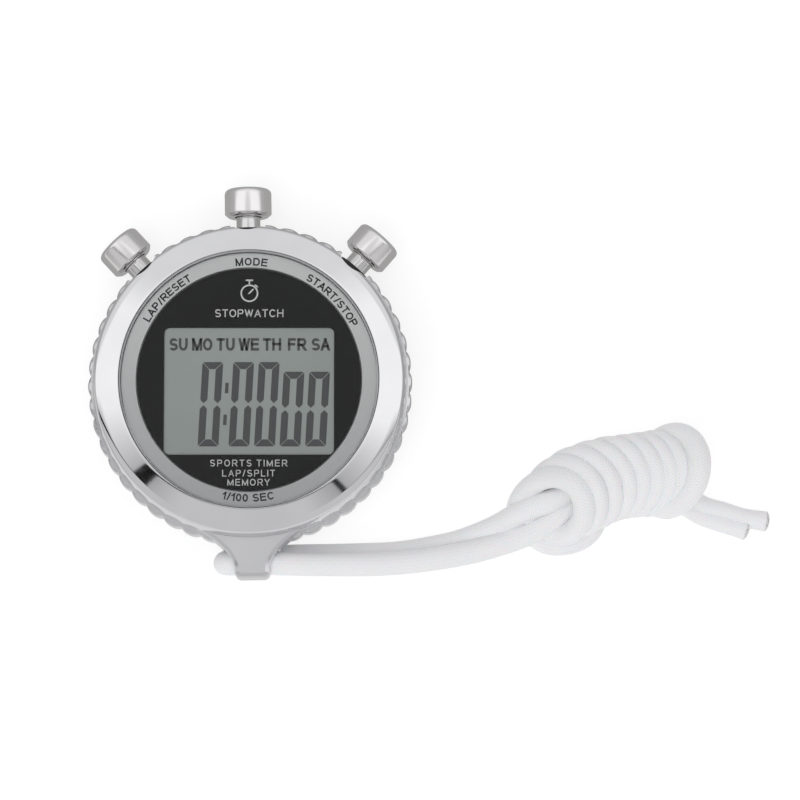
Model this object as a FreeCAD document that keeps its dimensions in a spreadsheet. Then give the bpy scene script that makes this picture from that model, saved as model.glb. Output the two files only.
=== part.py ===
"""A hand-held digital stopwatch with three pushers and a wrapped neck cord, in millimetres.

The watch lies on its back. The origin is the middle of the case back's outer face, +Z points out
of the display, +Y points to the 12 o'clock pusher and +X to the side where the cord lies.
"""
import FreeCAD, Part
import math
import os
import types

import Sketcher

Vector = FreeCAD.Vector
Rotation = FreeCAD.Rotation
Placement = FreeCAD.Placement

SIZES = {
    # case
    "flange_radius": 30.1,
    "case_bore_radius": 27.6,
    "case_foot_radius": 29.0,
    "case_foot_height": 0.6,
    "case_chamfer_top": 4.2,
    "split_height": 9.0,
    "spigot_radius": 28.4,
    "spigot_top": 10.5,
    "lip_radius": 26.6,
    "lip_top": 2.6,
    # grip scallops round the case
    "scallop_count": 48,
    "scallop_tip_radius": 31.0,
    "scallop_depth": 0.55,
    "scallop_root_radius": 29.6,
    "scallop_bottom": 4.4,
    "scallop_top": 8.6,
    # cord lug at 6 o'clock
    "lug_half_width": 3.35,
    "lug_tip": 37.4,
    "lug_corner": 0.9,
    "lug_flare_start": 36.1,
    "lug_flare_radius": 6.6,
    "lug_flare_angle": 72.0,
    "lug_root": 28.8,
    "lug_bottom": 4.8,
    "lug_top": 11.6,
    "eye_radius": 2.45,
    "eye_distance": 34.3,
    "eye_height": 8.1,
    "eye_flare_start": 2.75,
    "eye_flare_length": 1.15,
    # case back
    "back_radius": 27.4,
    "back_thickness": 1.5,
    "back_chamfer": 0.4,
    "back_rebate": 0.4,
    "back_rebate_radius": 26.7,
    "screw_circle": 25.0,
    "screw_angle_upper": 25.0,
    "screw_angle_lower": 50.0,
    "screw_shank_radius": 0.95,
    "screw_pilot_radius": 1.0,
    "screw_head_radius": 1.8,
    "screw_head_height": 0.7,
    "screw_seat_radius": 1.95,
    "screw_seat_depth": 0.9,
    "screw_tip": 7.0,
    "slot_width": 0.5,
    "slot_depth": 0.35,
    "post_radius": 2.2,
    "post_bottom": 2.7,
    # bezel
    "bezel_gap": 0.05,
    "bezel_bore_radius": 28.5,
    "bezel_shoulder_radius": 29.4,
    "bezel_shoulder_height": 15.0,
    "bezel_round": 0.85,
    "bezel_cone_radius": 28.75,
    "bezel_cone_height": 15.75,
    "bezel_crown": 14.0,
    "bezel_opening": 24.65,
    "bezel_edge": 0.15,
    "bezel_top": 16.6,
    "bezel_socket_radius": 26.2,
    "bezel_socket_top": 11.0,
    "ledge_radius": 22.6,
    "ledge_bottom": 12.9,
    "ledge_top": 14.2,
    # face, lens and display
    "panel_radius": 23.9,
    "panel_thickness": 0.3,
    "ring_inner_radius": 21.5,
    "ring_outer_radius": 24.3,
    "ring_thickness": 0.4,
    "lens_radius": 24.4,
    "lens_bottom": 14.9,
    "lens_top": 16.2,
    "lens_bevel": 0.4,
    "lens_gasket_top": 15.7,
    "window_width": 32.3,
    "window_height": 24.3,
    "window_drop": 2.2,
    "glass_width": 33.4,
    "glass_height": 25.4,
    "glass_thickness": 1.6,
    "reflector_thickness": 0.2,
    "glass_clearance": 0.1,
    "strip_width": 2.0,
    "strip_length": 31.0,
    "strip_inset": 1.5,
    # module
    "frame_radius": 22.4,
    "frame_flange_radius": 24.5,
    "frame_flange_bottom": 11.4,
    "frame_window_width": 28.0,
    "frame_window_height": 17.0,
    "board_radius": 22.0,
    "board_bottom": 8.6,
    "board_thickness": 1.0,
    "board_screw_circle": 19.8,
    "board_screw_angle": 20.0,
    "board_screw_radius": 0.7,
    "board_hole_radius": 0.8,
    "board_screw_head": 1.5,
    "board_head_height": 0.7,
    "board_screw_length": 3.2,
    "chip_size": 8.0,
    "chip_height": 1.2,
    "chip_x": 6.0,
    "chip_y": 7.0,
    "crystal_radius": 1.0,
    "crystal_length": 6.0,
    "capacitor_length": 1.6,
    "capacitor_width": 0.8,
    "capacitor_pitch": 2.5,
    "capacitor_x": 13.0,
    # power and sound
    "cell_radius": 5.8,
    "cell_height": 5.4,
    "cell_cap_radius": 4.6,
    "cell_cap_height": 0.6,
    "cell_x": -9.0,
    "cell_y": 3.0,
    "cell_bottom": 2.9,
    "holder_radius": 7.2,
    "holder_bore": 5.95,
    "clip_width": 4.0,
    "clip_length": 13.6,
    "clip_thickness": 0.3,
    "contact_width": 3.0,
    "contact_length": 7.0,
    "contact_thickness": 0.25,
    "buzzer_radius": 9.0,
    "buzzer_thickness": 0.3,
    "buzzer_x": 9.0,
    "buzzer_y": -8.0,
    "buzzer_coil_radius": 1.5,
    "buzzer_wire_radius": 0.18,
    "buzzer_coil_pitch": 1.2,
    # pushers, measured along their own axis from the middle of the case
    "pusher_height": 5.5,
    "pusher_side_angle": 42.0,
    "recess_radius": 3.3,
    "recess_floor": 29.6,
    "tube_radius": 2.3,
    "tube_seat_clearance": 0.02,
    "tube_start": 25.95,
    "tube_end": 33.6,
    "tube_bore": 1.3,
    "bore_lead_in": 1.0,
    "bore_overrun": 2.0,
    "tube_spring_bore": 1.95,
    "tube_spring_floor": 29.6,
    "tube_collar_radius": 3.0,
    "tube_collar_length": 0.5,
    "stem_radius": 1.2,
    "stem_start": 24.2,
    "stem_end": 36.9,
    "stem_tip_radius": 0.8,
    "groove_radius": 0.8,
    "groove_start": 25.35,
    "groove_width": 0.5,
    "retaining_radius": 2.2,
    "retaining_thickness": 0.4,
    "retaining_mouth": 1.5,
    "seal_position": 28.2,
    "seal_wire_radius": 0.32,
    "seal_groove_radius": 0.68,
    "seal_groove_share": 1.3,
    "cap_radius": 4.5,
    "cap_start": 32.7,
    "cap_end": 38.4,
    "cap_foot_chamfer": 0.7,
    "cap_edge_radius": 1.1,
    "cap_socket_radius": 2.6,
    "cap_socket_end": 35.9,
    "spring_radius": 1.6,
    "spring_wire_radius": 0.17,
    "spring_pitch": 0.9,
    "spring_end_gap": 0.2,
    "leaf_position": 23.8,
    "leaf_thickness": 0.2,
    "leaf_width": 3.0,
    "leaf_foot_start": 20.0,
    "leaf_bottom": 3.6,
    # neck cord
    "cord_radius": 2.25,
    "cord_bed": 2.3,
    "cord_return_distance": 32.7,
    "cord_bend_start": 4.0,
    "swing_x": 10.0,
    "swing_y": -33.5,
    "swing_gap": 0.5,
    "wrap_x": 57.5,
    "wrap_y": -24.6,
    "wrap_angle": 17.5,
    "wrap_height": 8.0,
    "wrap_radius": 7.9,
    "wrap_turns": 6,
    "wrap_pitch": 4.0,
    "wrap_ring_radius": 7.1,
    "wrap_ring_height": 9.5,
}


class Size:
    """A number from the sheet, or worked out from it, with the formula that gives it."""

    def __init__(self, value, formula):
        self.value = value
        self.formula = formula

    def __add__(self, other):
        other = as_size(other)
        return Size(self.value + other.value, f"({self.formula} + {other.formula})")

    def __radd__(self, other):
        return as_size(other) + self

    def __sub__(self, other):
        other = as_size(other)
        return Size(self.value - other.value, f"({self.formula} - {other.formula})")

    def __rsub__(self, other):
        return as_size(other) - self

    def __mul__(self, other):
        other = as_size(other)
        return Size(self.value * other.value, f"({self.formula} * {other.formula})")

    def __rmul__(self, other):
        return as_size(other) * self

    def __truediv__(self, other):
        other = as_size(other)
        return Size(self.value / other.value, f"({self.formula} / {other.formula})")

    def __rtruediv__(self, other):
        return as_size(other) / self

    def __neg__(self):
        return Size(-self.value, f"(0 - {self.formula})")


def as_size(number):
    """A plain number as a Size; a Size stays as it is."""
    if isinstance(number, Size):
        return number
    return Size(float(number), repr(float(number)))


def polar(radius, angle):
    """The x and y of a point at a radius and an angle in degrees."""
    radius = as_size(radius)
    angle = as_size(angle)
    turn = math.radians(angle.value)
    x = Size(radius.value * math.cos(turn), f"({radius.formula} * cos({angle.formula}))")
    y = Size(radius.value * math.sin(turn), f"({radius.formula} * sin({angle.formula}))")
    return x, y


doc = FreeCAD.newDocument("Stopwatch")
sheet = doc.addObject("Spreadsheet::Sheet", "Sizes")
for row, (word, number) in enumerate(SIZES.items(), start=1):
    sheet.set(f"A{row}", word)
    sheet.set(f"B{row}", str(number))
    sheet.setAlias(f"B{row}", word)
doc.recompute()
S = types.SimpleNamespace(**{word: Size(float(number), f"Sizes.{word}") for word, number in SIZES.items()})

sub_parts = []


def finish(piece, label, placement=None):
    """Name a sub-part, place it and put it on the list of files to write."""
    piece.Label = label
    if placement is not None:
        piece.Placement = placement
    sub_parts.append(piece)
    return piece


def bind(piece, name, size):
    """Tie a property of a piece to the sheet."""
    piece.setExpression(name, as_size(size).formula)


# ---------------------------------------------------------------- sketches and features


def new_body(name):
    return doc.addObject("PartDesign::Body", name)


def sketch_on(body, role, offset=0):
    """A sketch on one of the body's own origin planes, moved along the plane's normal."""
    sketch = body.newObject("Sketcher::SketchObject", body.Name + "_sketch")
    plane = [feature for feature in body.Origin.OriginFeatures if feature.Role == role][0]
    sketch.AttachmentSupport = [(plane, "")]
    sketch.MapMode = "FlatFace"
    bind(sketch, "AttachmentOffset.Base.z", offset)
    return sketch


def arc_middle(start, finish_point, radius):
    """The middle of the short arc between two points; a negative radius bends to the right."""
    chord = finish_point - start
    left = Vector(-chord.y, chord.x, 0).normalize()
    side = math.copysign(1, radius)
    centre = start + chord * 0.5 + left * side * math.sqrt(radius ** 2 - (chord.Length / 2) ** 2)
    return centre - left * side * abs(radius)


def add_outline(sketch, steps):
    """A closed outline through the steps, anticlockwise.

    A step is (x, y), or (x, y, radius) where an arc runs from it to the next step. The radius is
    negative where the arc is hollow.
    """
    count = len(steps)
    first_edge = sketch.GeometryCount
    points = [Vector(as_size(step[0]).value, as_size(step[1]).value, 0) for step in steps]
    for index, step in enumerate(steps):
        start = points[index]
        stop = points[(index + 1) % count]
        if len(step) == 3:
            middle = arc_middle(start, stop, as_size(step[2]).value)
            sketch.addGeometry(Part.Arc(start, middle, stop))
        else:
            sketch.addGeometry(Part.LineSegment(start, stop))

    ends = []
    for index in range(count):
        edge = first_edge + index
        forward = (sketch.getPoint(edge, 1) - points[index]).Length < 1e-6
        ends.append((edge, 1, 2) if forward else (edge, 2, 1))

    rules = []
    formulas = []
    for index, step in enumerate(steps):
        edge, start_end, stop_end = ends[index]
        next_edge, next_start, _ = ends[(index + 1) % count]
        rules.append(Sketcher.Constraint("Coincident", edge, stop_end, next_edge, next_start))
        formulas.append(None)
        for kind, size, axis in (("DistanceX", as_size(step[0]), -2), ("DistanceY", as_size(step[1]), -1)):
            if size.value == 0:
                rules.append(Sketcher.Constraint("PointOnObject", edge, start_end, axis))
                formulas.append(None)
            else:
                rules.append(Sketcher.Constraint(kind, -1, 1, edge, start_end, size.value))
                formulas.append(size.formula)
        if len(step) == 3:
            radius = as_size(step[2])
            upright = radius if radius.value > 0 else -radius
            rules.append(Sketcher.Constraint("Radius", edge, upright.value))
            formulas.append(upright.formula)
    add_rules(sketch, rules, formulas)


def add_circle(sketch, x, y, radius):
    """A circle whose middle and radius follow the sheet."""
    x, y, radius = as_size(x), as_size(y), as_size(radius)
    edge = sketch.GeometryCount
    sketch.addGeometry(Part.Circle(Vector(x.value, y.value, 0), Vector(0, 0, 1), radius.value))
    rules = [Sketcher.Constraint("Radius", edge, radius.value)]
    formulas = [radius.formula]
    for kind, size, axis in (("DistanceX", x, -2), ("DistanceY", y, -1)):
        if size.value == 0:
            rules.append(Sketcher.Constraint("PointOnObject", edge, 3, axis))
            formulas.append(None)
        else:
            rules.append(Sketcher.Constraint(kind, -1, 1, edge, 3, size.value))
            formulas.append(size.formula)
    add_rules(sketch, rules, formulas)


def add_rectangle(sketch, x, y, width, height):
    """A rectangle given by its middle and its sides."""
    x, y, width, height = (as_size(number) for number in (x, y, width, height))
    left, right = x - width / 2, x + width / 2
    bottom, top = y - height / 2, y + height / 2
    add_outline(sketch, [(left, bottom), (right, bottom), (right, top), (left, top)])


def add_rules(sketch, rules, formulas):
    """Add constraints to a sketch and tie the measured ones to the sheet."""
    first_rule = sketch.ConstraintCount
    sketch.addConstraint(rules)
    for index, formula in enumerate(formulas):
        if formula is not None:
            sketch.setExpression(f"Constraints[{first_rule + index}]", formula)


def pad(body, sketch, length):
    """Raise a sketch along its normal."""
    feature = body.newObject("PartDesign::Pad", body.Name + "_pad")
    feature.Profile = sketch
    bind(feature, "Length", length)
    return feature


def pocket(body, sketch, depth):
    """Cut a sketch into the body along the sketch's normal, and prove that it cut something."""
    doc.recompute()
    volume = body.Shape.Volume
    feature = body.newObject("PartDesign::Pocket", body.Name + "_pocket")
    feature.Profile = sketch
    feature.Reversed = True
    bind(feature, "Length", depth)
    doc.recompute()
    if not body.Shape.Volume < volume - 1e-4:
        raise RuntimeError(f"{feature.Name} cut nothing from {body.Name}")
    return feature


def revolve(body, sketch):
    """Turn a sketch once round its vertical axis."""
    feature = body.newObject("PartDesign::Revolution", body.Name + "_turning")
    feature.Profile = sketch
    feature.ReferenceAxis = (sketch, ["V_Axis"])
    feature.Angle = 360
    return feature


def turned_body(name, steps):
    """A body turned round Z from an outline given as (radius, height) steps."""
    body = new_body(name)
    sketch = sketch_on(body, "XZ_Plane")
    add_outline(sketch, steps)
    revolve(body, sketch)
    return body


def ring_steps(inner, outer, bottom, top):
    """The outline of a plain ring."""
    return [(inner, bottom), (outer, bottom), (outer, top), (inner, top)]


def coil_body(name, radius, wire_radius, start, length, pitch):
    """A helical spring round Z."""
    body = new_body(name)
    sketch = sketch_on(body, "XZ_Plane")
    add_circle(sketch, radius, start, wire_radius)
    feature = body.newObject("PartDesign::AdditiveHelix", name + "_coil")
    feature.Profile = sketch
    feature.ReferenceAxis = (sketch, ["V_Axis"])
    feature.Mode = 0
    bind(feature, "Pitch", pitch)
    bind(feature, "Height", length)
    return body


def cylinder(name, radius, height, placement=None):
    piece = doc.addObject("Part::Cylinder", name)
    bind(piece, "Radius", radius)
    bind(piece, "Height", height)
    if placement is not None:
        piece.Placement = placement
    return piece


def block(name, middle_x, middle_y, bottom, width, depth, height):
    """A box given by the middle of its base, its bottom and its sides."""
    piece = doc.addObject("Part::Box", name)
    bind(piece, "Length", width)
    bind(piece, "Width", depth)
    bind(piece, "Height", height)
    bind(piece, "Placement.Base.x", as_size(middle_x) - as_size(width) / 2)
    bind(piece, "Placement.Base.y", as_size(middle_y) - as_size(depth) / 2)
    bind(piece, "Placement.Base.z", bottom)
    return piece


def compound(name, pieces):
    piece = doc.addObject("Part::Compound", name)
    piece.Links = pieces
    return piece


def fuse(name, pieces):
    piece = doc.addObject("Part::MultiFuse", name)
    piece.Shapes = pieces
    return piece


def cut(name, base, tool):
    piece = doc.addObject("Part::Cut", name)
    piece.Base = base
    piece.Tool = tool
    return piece


# ---------------------------------------------------------------- places used more than once


def pusher_placement(angle, distance=0):
    """Local Z along a pusher's axis; the angle runs clockwise from 12 o'clock."""
    turn = Rotation(Vector(0, 0, 1), -angle) * Rotation(Vector(1, 0, 0), -90)
    base = Vector(0, 0, S.pusher_height.value) + turn.multVec(Vector(0, 0, distance))
    return Placement(base, turn)


def case_screw_places():
    """The four case back screws: a wide pair above and a narrow pair below."""
    angles = [
        S.screw_angle_upper,
        180 - S.screw_angle_upper,
        180 + S.screw_angle_lower,
        360 - S.screw_angle_lower,
    ]
    return [polar(S.screw_circle, angle) for angle in angles]


def board_screw_places():
    angles = [
        S.board_screw_angle,
        180 - S.board_screw_angle,
        180 + S.board_screw_angle,
        360 - S.board_screw_angle,
    ]
    return [polar(S.board_screw_circle, angle) for angle in angles]


def add_circles(sketch, places, radius):
    for x, y in places:
        add_circle(sketch, x, y, radius)


# ---------------------------------------------------------------- case


def add_scallops(body):
    """One convex grip lobe, repeated all round the case."""
    half_pitch = 180 / S.scallop_count
    valley = S.scallop_tip_radius - S.scallop_depth
    half_chord = Size(
        valley.value * math.sin(math.radians(half_pitch.value)),
        f"({valley.formula} * sin({half_pitch.formula}))",
    )
    rise = S.scallop_tip_radius - polar(valley, half_pitch)[0]
    lobe_radius = (half_chord * half_chord + rise * rise) / (2 * rise)
    root_x, root_y = polar(S.scallop_root_radius, half_pitch)
    valley_x, valley_y = polar(valley, half_pitch)
    sketch = sketch_on(body, "XY_Plane", S.scallop_bottom)
    add_outline(sketch, [
        (root_x, -root_y),
        (valley_x, -valley_y, lobe_radius),
        (valley_x, valley_y),
        (root_x, root_y),
    ])
    lobe = pad(body, sketch, S.scallop_top - S.scallop_bottom)
    doc.recompute()
    pattern = body.newObject("PartDesign::PolarPattern", "scallop_pattern")
    pattern.Originals = [lobe]
    pattern.Axis = (sketch, ["N_Axis"])
    pattern.Angle = 360
    bind(pattern, "Occurrences", S.scallop_count)
    body.Tip = pattern


def add_lug(body):
    """The cord lug: a tongue that flares out to meet the case."""
    flare_x = S.lug_half_width + S.lug_flare_radius - polar(S.lug_flare_radius, S.lug_flare_angle)[0]
    flare_y = -S.lug_flare_start + polar(S.lug_flare_radius, S.lug_flare_angle)[1]
    side = S.lug_half_width
    sketch = sketch_on(body, "XY_Plane", S.lug_bottom)
    add_outline(sketch, [
        (-flare_x, -S.lug_root),
        (-flare_x, flare_y, -S.lug_flare_radius),
        (-side, -S.lug_flare_start),
        (-side, -S.lug_tip + S.lug_corner, S.lug_corner),
        (-side + S.lug_corner, -S.lug_tip),
        (side - S.lug_corner, -S.lug_tip, S.lug_corner),
        (side, -S.lug_tip + S.lug_corner),
        (side, -S.lug_flare_start, -S.lug_flare_radius),
        (flare_x, flare_y),
        (flare_x, -S.lug_root),
    ])
    pad(body, sketch, S.lug_top - S.lug_bottom)


def make_case_blank():
    """The case ring with its lip, scallops, lug and the spigot that centres the bezel."""
    body = turned_body("case_blank", [
        (S.case_bore_radius, S.case_foot_height),
        (S.case_foot_radius, S.case_foot_height),
        (S.flange_radius, S.case_chamfer_top),
        (S.flange_radius, S.split_height),
        (S.case_bore_radius, S.split_height),
        (S.case_bore_radius, S.lip_top),
        (S.lip_radius, S.lip_top),
        (S.lip_radius, S.back_thickness),
        (S.case_bore_radius, S.back_thickness),
    ])
    add_scallops(body)
    add_lug(body)
    bezel_room = sketch_on(body, "XY_Plane", S.split_height)
    add_circle(bezel_room, 0, 0, S.flange_radius + 3 * S.bezel_gap)
    pocket(body, bezel_room, S.lug_top)
    spigot = sketch_on(body, "XY_Plane", S.split_height - S.bezel_gap)
    add_circle(spigot, 0, 0, S.spigot_radius)
    add_circle(spigot, 0, 0, S.case_bore_radius)
    pad(body, spigot, S.spigot_top - S.split_height + S.bezel_gap)
    return body


def make_case_body():
    """The case ring, bored for three pusher tubes and for the cord."""
    tools = []
    wall_start = S.case_bore_radius - S.bore_lead_in
    past_wall = S.scallop_tip_radius + S.bore_overrun
    for name, angle in pusher_angles().items():
        bore = cylinder(name + "_bore", S.tube_radius + S.tube_seat_clearance, past_wall - wall_start,
                        pusher_placement(angle, wall_start.value))
        recess = cylinder(name + "_recess", S.recess_radius, past_wall - S.recess_floor,
                          pusher_placement(angle, S.recess_floor.value))
        tools += [bore, recess]

    along_x = Rotation(Vector(0, 1, 0), 90)
    eye_length = 4 * S.lug_half_width
    eye_middle = Vector(0, -S.eye_distance.value, S.eye_height.value)
    eye = cylinder("cord_eye", S.eye_radius, eye_length,
                   Placement(eye_middle - Vector(eye_length.value / 2, 0, 0), along_x))
    tools.append(eye)
    for side in (-1, 1):
        flare = doc.addObject("Part::Cone", "cord_eye_flare")
        bind(flare, "Radius1", S.eye_radius)
        bind(flare, "Radius2", S.eye_radius + S.eye_flare_length)
        bind(flare, "Height", S.eye_flare_length)
        flare.Placement = Placement(eye_middle + Vector(side * S.eye_flare_start.value, 0, 0),
                                    Rotation(Vector(0, 1, 0), side * 90))
        tools.append(flare)
    finish(cut("case_bored", make_case_blank(), fuse("case_bores", tools)), "case_body")


def make_front_bezel():
    """The polished bezel: a skirt, a crowned cone, a lens seat and four screw posts."""
    body = turned_body("bezel", [
        (S.bezel_bore_radius, S.split_height + S.bezel_gap),
        (S.flange_radius - S.bezel_gap, S.split_height + S.bezel_gap),
        (S.bezel_shoulder_radius, S.bezel_shoulder_height, S.bezel_round),
        (S.bezel_cone_radius, S.bezel_cone_height, S.bezel_crown),
        (S.bezel_opening + S.bezel_edge, S.bezel_top),
        (S.bezel_opening, S.bezel_top - S.bezel_edge),
        (S.bezel_opening, S.ledge_top),
        (S.ledge_radius, S.ledge_top),
        (S.ledge_radius, S.ledge_bottom),
        (S.bezel_socket_radius, S.ledge_bottom),
        (S.bezel_socket_radius, S.bezel_socket_top),
        (S.bezel_bore_radius, S.bezel_socket_top),
    ])
    posts = sketch_on(body, "XY_Plane", S.post_bottom)
    add_circles(posts, case_screw_places(), S.post_radius)
    pad(body, posts, S.ledge_bottom - S.post_bottom + S.bezel_edge)
    pilots = sketch_on(body, "XY_Plane", S.post_bottom)
    add_circles(pilots, case_screw_places(), S.screw_pilot_radius)
    pocket(body, pilots, S.screw_tip - S.post_bottom + S.bezel_edge)
    finish(body, "front_bezel")


def make_case_back():
    """The back cover, with a rebate for its gasket and four sunk screw seats."""
    body = turned_body("back_cover", [
        (0, 0),
        (S.back_radius - S.back_chamfer, 0),
        (S.back_radius, S.back_chamfer),
        (S.back_radius, S.back_thickness - S.back_rebate),
        (S.back_rebate_radius, S.back_thickness - S.back_rebate),
        (S.back_rebate_radius, S.back_thickness),
        (0, S.back_thickness),
    ])
    holes = sketch_on(body, "XY_Plane")
    add_circles(holes, case_screw_places(), S.screw_pilot_radius)
    pocket(body, holes, S.back_thickness)
    seats = sketch_on(body, "XY_Plane")
    add_circles(seats, case_screw_places(), S.screw_seat_radius)
    pocket(body, seats, S.screw_seat_depth)
    finish(body, "case_back")

    screws = new_body("back_screws")
    screws.AllowCompound = True
    head_bottom = S.screw_seat_depth - S.screw_head_height
    heads = sketch_on(screws, "XY_Plane", head_bottom)
    add_circles(heads, case_screw_places(), S.screw_head_radius)
    pad(screws, heads, S.screw_head_height)
    shanks = sketch_on(screws, "XY_Plane", S.screw_seat_depth)
    add_circles(shanks, case_screw_places(), S.screw_shank_radius)
    pad(screws, shanks, S.screw_tip - S.screw_seat_depth)
    slots = sketch_on(screws, "XY_Plane", head_bottom)
    for x, y in case_screw_places():
        add_rectangle(slots, x, y, 2 * S.screw_head_radius + 1, S.slot_width)
    pocket(screws, slots, S.slot_depth)
    finish(screws, "case_back_screws")

    gasket = turned_body("back_gasket", ring_steps(
        S.back_rebate_radius + S.bezel_gap, S.back_radius,
        S.back_thickness - S.back_rebate, S.back_thickness))
    finish(gasket, "case_back_gasket")


def make_bezel_gasket():
    body = turned_body("front_gasket", ring_steps(
        S.case_bore_radius, S.spigot_radius, S.spigot_top, S.bezel_socket_top))
    finish(body, "bezel_gasket")


# ---------------------------------------------------------------- face and display


def make_face():
    """The black face with its window, the legend ring, the lens and the lens gasket."""
    panel_top = S.ledge_top + S.panel_thickness
    body = new_body("panel")
    disc = sketch_on(body, "XY_Plane", S.ledge_top)
    add_circle(disc, 0, 0, S.panel_radius)
    pad(body, disc, S.panel_thickness)
    window = sketch_on(body, "XY_Plane", S.ledge_top)
    add_rectangle(window, 0, -S.window_drop, S.window_width, S.window_height)
    pocket(body, window, S.panel_thickness)
    finish(body, "face_panel")

    ring = turned_body("ring", ring_steps(
        S.ring_inner_radius, S.ring_outer_radius, panel_top, panel_top + S.ring_thickness))
    finish(ring, "legend_ring")

    gasket = turned_body("window_gasket", ring_steps(
        S.lens_radius, S.bezel_opening, S.ledge_top, S.lens_gasket_top))
    finish(gasket, "lens_gasket")

    lens = turned_body("window_lens", [
        (0, S.lens_bottom),
        (S.lens_radius, S.lens_bottom),
        (S.lens_radius, S.lens_top - S.lens_bevel),
        (S.lens_radius - S.lens_bevel, S.lens_top),
        (0, S.lens_top),
    ])
    finish(lens, "lens")


def make_display():
    """The display glass, its reflector and the two rubber strips that connect it."""
    glass_bottom = S.ledge_top - S.glass_thickness
    glass = block("glass", 0, -S.window_drop, glass_bottom, S.glass_width, S.glass_height, S.glass_thickness)
    finish(glass, "lcd_panel")
    reflector_bottom = glass_bottom - S.reflector_thickness
    strip_offset = S.glass_height / 2 - S.strip_inset
    reflector_height = 2 * strip_offset - S.strip_width - 4 * S.glass_clearance
    reflector = block("reflector", 0, -S.window_drop, reflector_bottom,
                      S.glass_width, reflector_height, S.reflector_thickness)
    finish(reflector, "lcd_reflector")
    board_top = S.board_bottom + S.board_thickness
    strips = []
    for side in (-1, 1):
        strips.append(block("strip", 0, side * strip_offset - S.window_drop, board_top,
                            S.strip_length, S.strip_width, glass_bottom - board_top))
    finish(compound("strips", strips), "zebra_strips")


def make_module_frame():
    """The plastic frame that holds the display over the board and bears on the bezel ledge."""
    body = new_body("display_frame")
    frame_bottom = S.board_bottom + S.board_thickness
    frame_top = S.ledge_top - S.bezel_gap
    core = sketch_on(body, "XY_Plane", frame_bottom)
    add_circle(core, 0, 0, S.frame_radius)
    pad(body, core, frame_top - frame_bottom)
    flange = sketch_on(body, "XY_Plane", S.frame_flange_bottom)
    add_circle(flange, 0, 0, S.frame_flange_radius)
    pad(body, flange, S.ledge_bottom - S.frame_flange_bottom)
    notches = sketch_on(body, "XY_Plane", S.frame_flange_bottom)
    add_circles(notches, case_screw_places(), S.post_radius + 2 * S.glass_clearance)
    pocket(body, notches, S.ledge_bottom - S.frame_flange_bottom)
    glass_seat = sketch_on(body, "XY_Plane", S.ledge_top - S.glass_thickness - S.reflector_thickness)
    add_rectangle(glass_seat, 0, -S.window_drop,
                  S.glass_width + 2 * S.glass_clearance, S.glass_height + 2 * S.glass_clearance)
    pocket(body, glass_seat, S.lens_top)
    well = sketch_on(body, "XY_Plane", frame_bottom)
    add_rectangle(well, 0, -S.window_drop, S.frame_window_width, S.frame_window_height)
    strip_offset = S.glass_height / 2 - S.strip_inset
    for side in (-1, 1):
        add_rectangle(well, 0, side * strip_offset - S.window_drop,
                      S.strip_length + 2 * S.glass_clearance, S.strip_width + 2 * S.glass_clearance)
    pocket(body, well, S.lens_top)
    pilots = sketch_on(body, "XY_Plane", frame_bottom)
    add_circles(pilots, board_screw_places(), S.board_hole_radius)
    pocket(body, pilots, S.board_screw_length)
    finish(body, "module_frame")


# ---------------------------------------------------------------- electronics


def make_board():
    """The round circuit board, its screws and the parts soldered under it."""
    body = new_body("board")
    disc = sketch_on(body, "XY_Plane", S.board_bottom)
    add_circle(disc, 0, 0, S.board_radius)
    pad(body, disc, S.board_thickness)
    holes = sketch_on(body, "XY_Plane", S.board_bottom)
    add_circles(holes, board_screw_places(), S.board_hole_radius)
    pocket(body, holes, S.board_thickness)
    finish(body, "circuit_board")

    screws = new_body("small_screws")
    screws.AllowCompound = True
    head_bottom = S.board_bottom - S.board_head_height
    heads = sketch_on(screws, "XY_Plane", head_bottom)
    add_circles(heads, board_screw_places(), S.board_screw_head)
    pad(screws, heads, S.board_head_height)
    shanks = sketch_on(screws, "XY_Plane", S.board_bottom)
    add_circles(shanks, board_screw_places(), S.board_screw_radius)
    pad(screws, shanks, S.board_screw_length)
    slots = sketch_on(screws, "XY_Plane", head_bottom)
    for x, y in board_screw_places():
        add_rectangle(slots, x, y, 2 * S.board_screw_head + 1, S.slot_width)
    pocket(screws, slots, S.slot_depth)
    finish(screws, "board_screws")

    chip = block("chip", S.chip_x, S.chip_y, S.board_bottom - S.chip_height,
                 S.chip_size, S.chip_size, S.chip_height)
    finish(chip, "controller_chip")

    crystal_middle = Vector(S.chip_x.value - S.crystal_length.value / 2, 0,
                            S.board_bottom.value - S.crystal_radius.value)
    crystal = cylinder("crystal", S.crystal_radius, S.crystal_length,
                       Placement(crystal_middle, Rotation(Vector(0, 1, 0), 90)))
    finish(crystal, "quartz_crystal")

    capacitors = []
    for step in (-1, 0, 1):
        capacitors.append(block("capacitor", S.capacitor_x, step * S.capacitor_pitch,
                                S.board_bottom - S.capacitor_width,
                                S.capacitor_length, S.capacitor_width, S.capacitor_width))
    finish(compound("capacitors", capacitors), "chip_capacitors")


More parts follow.
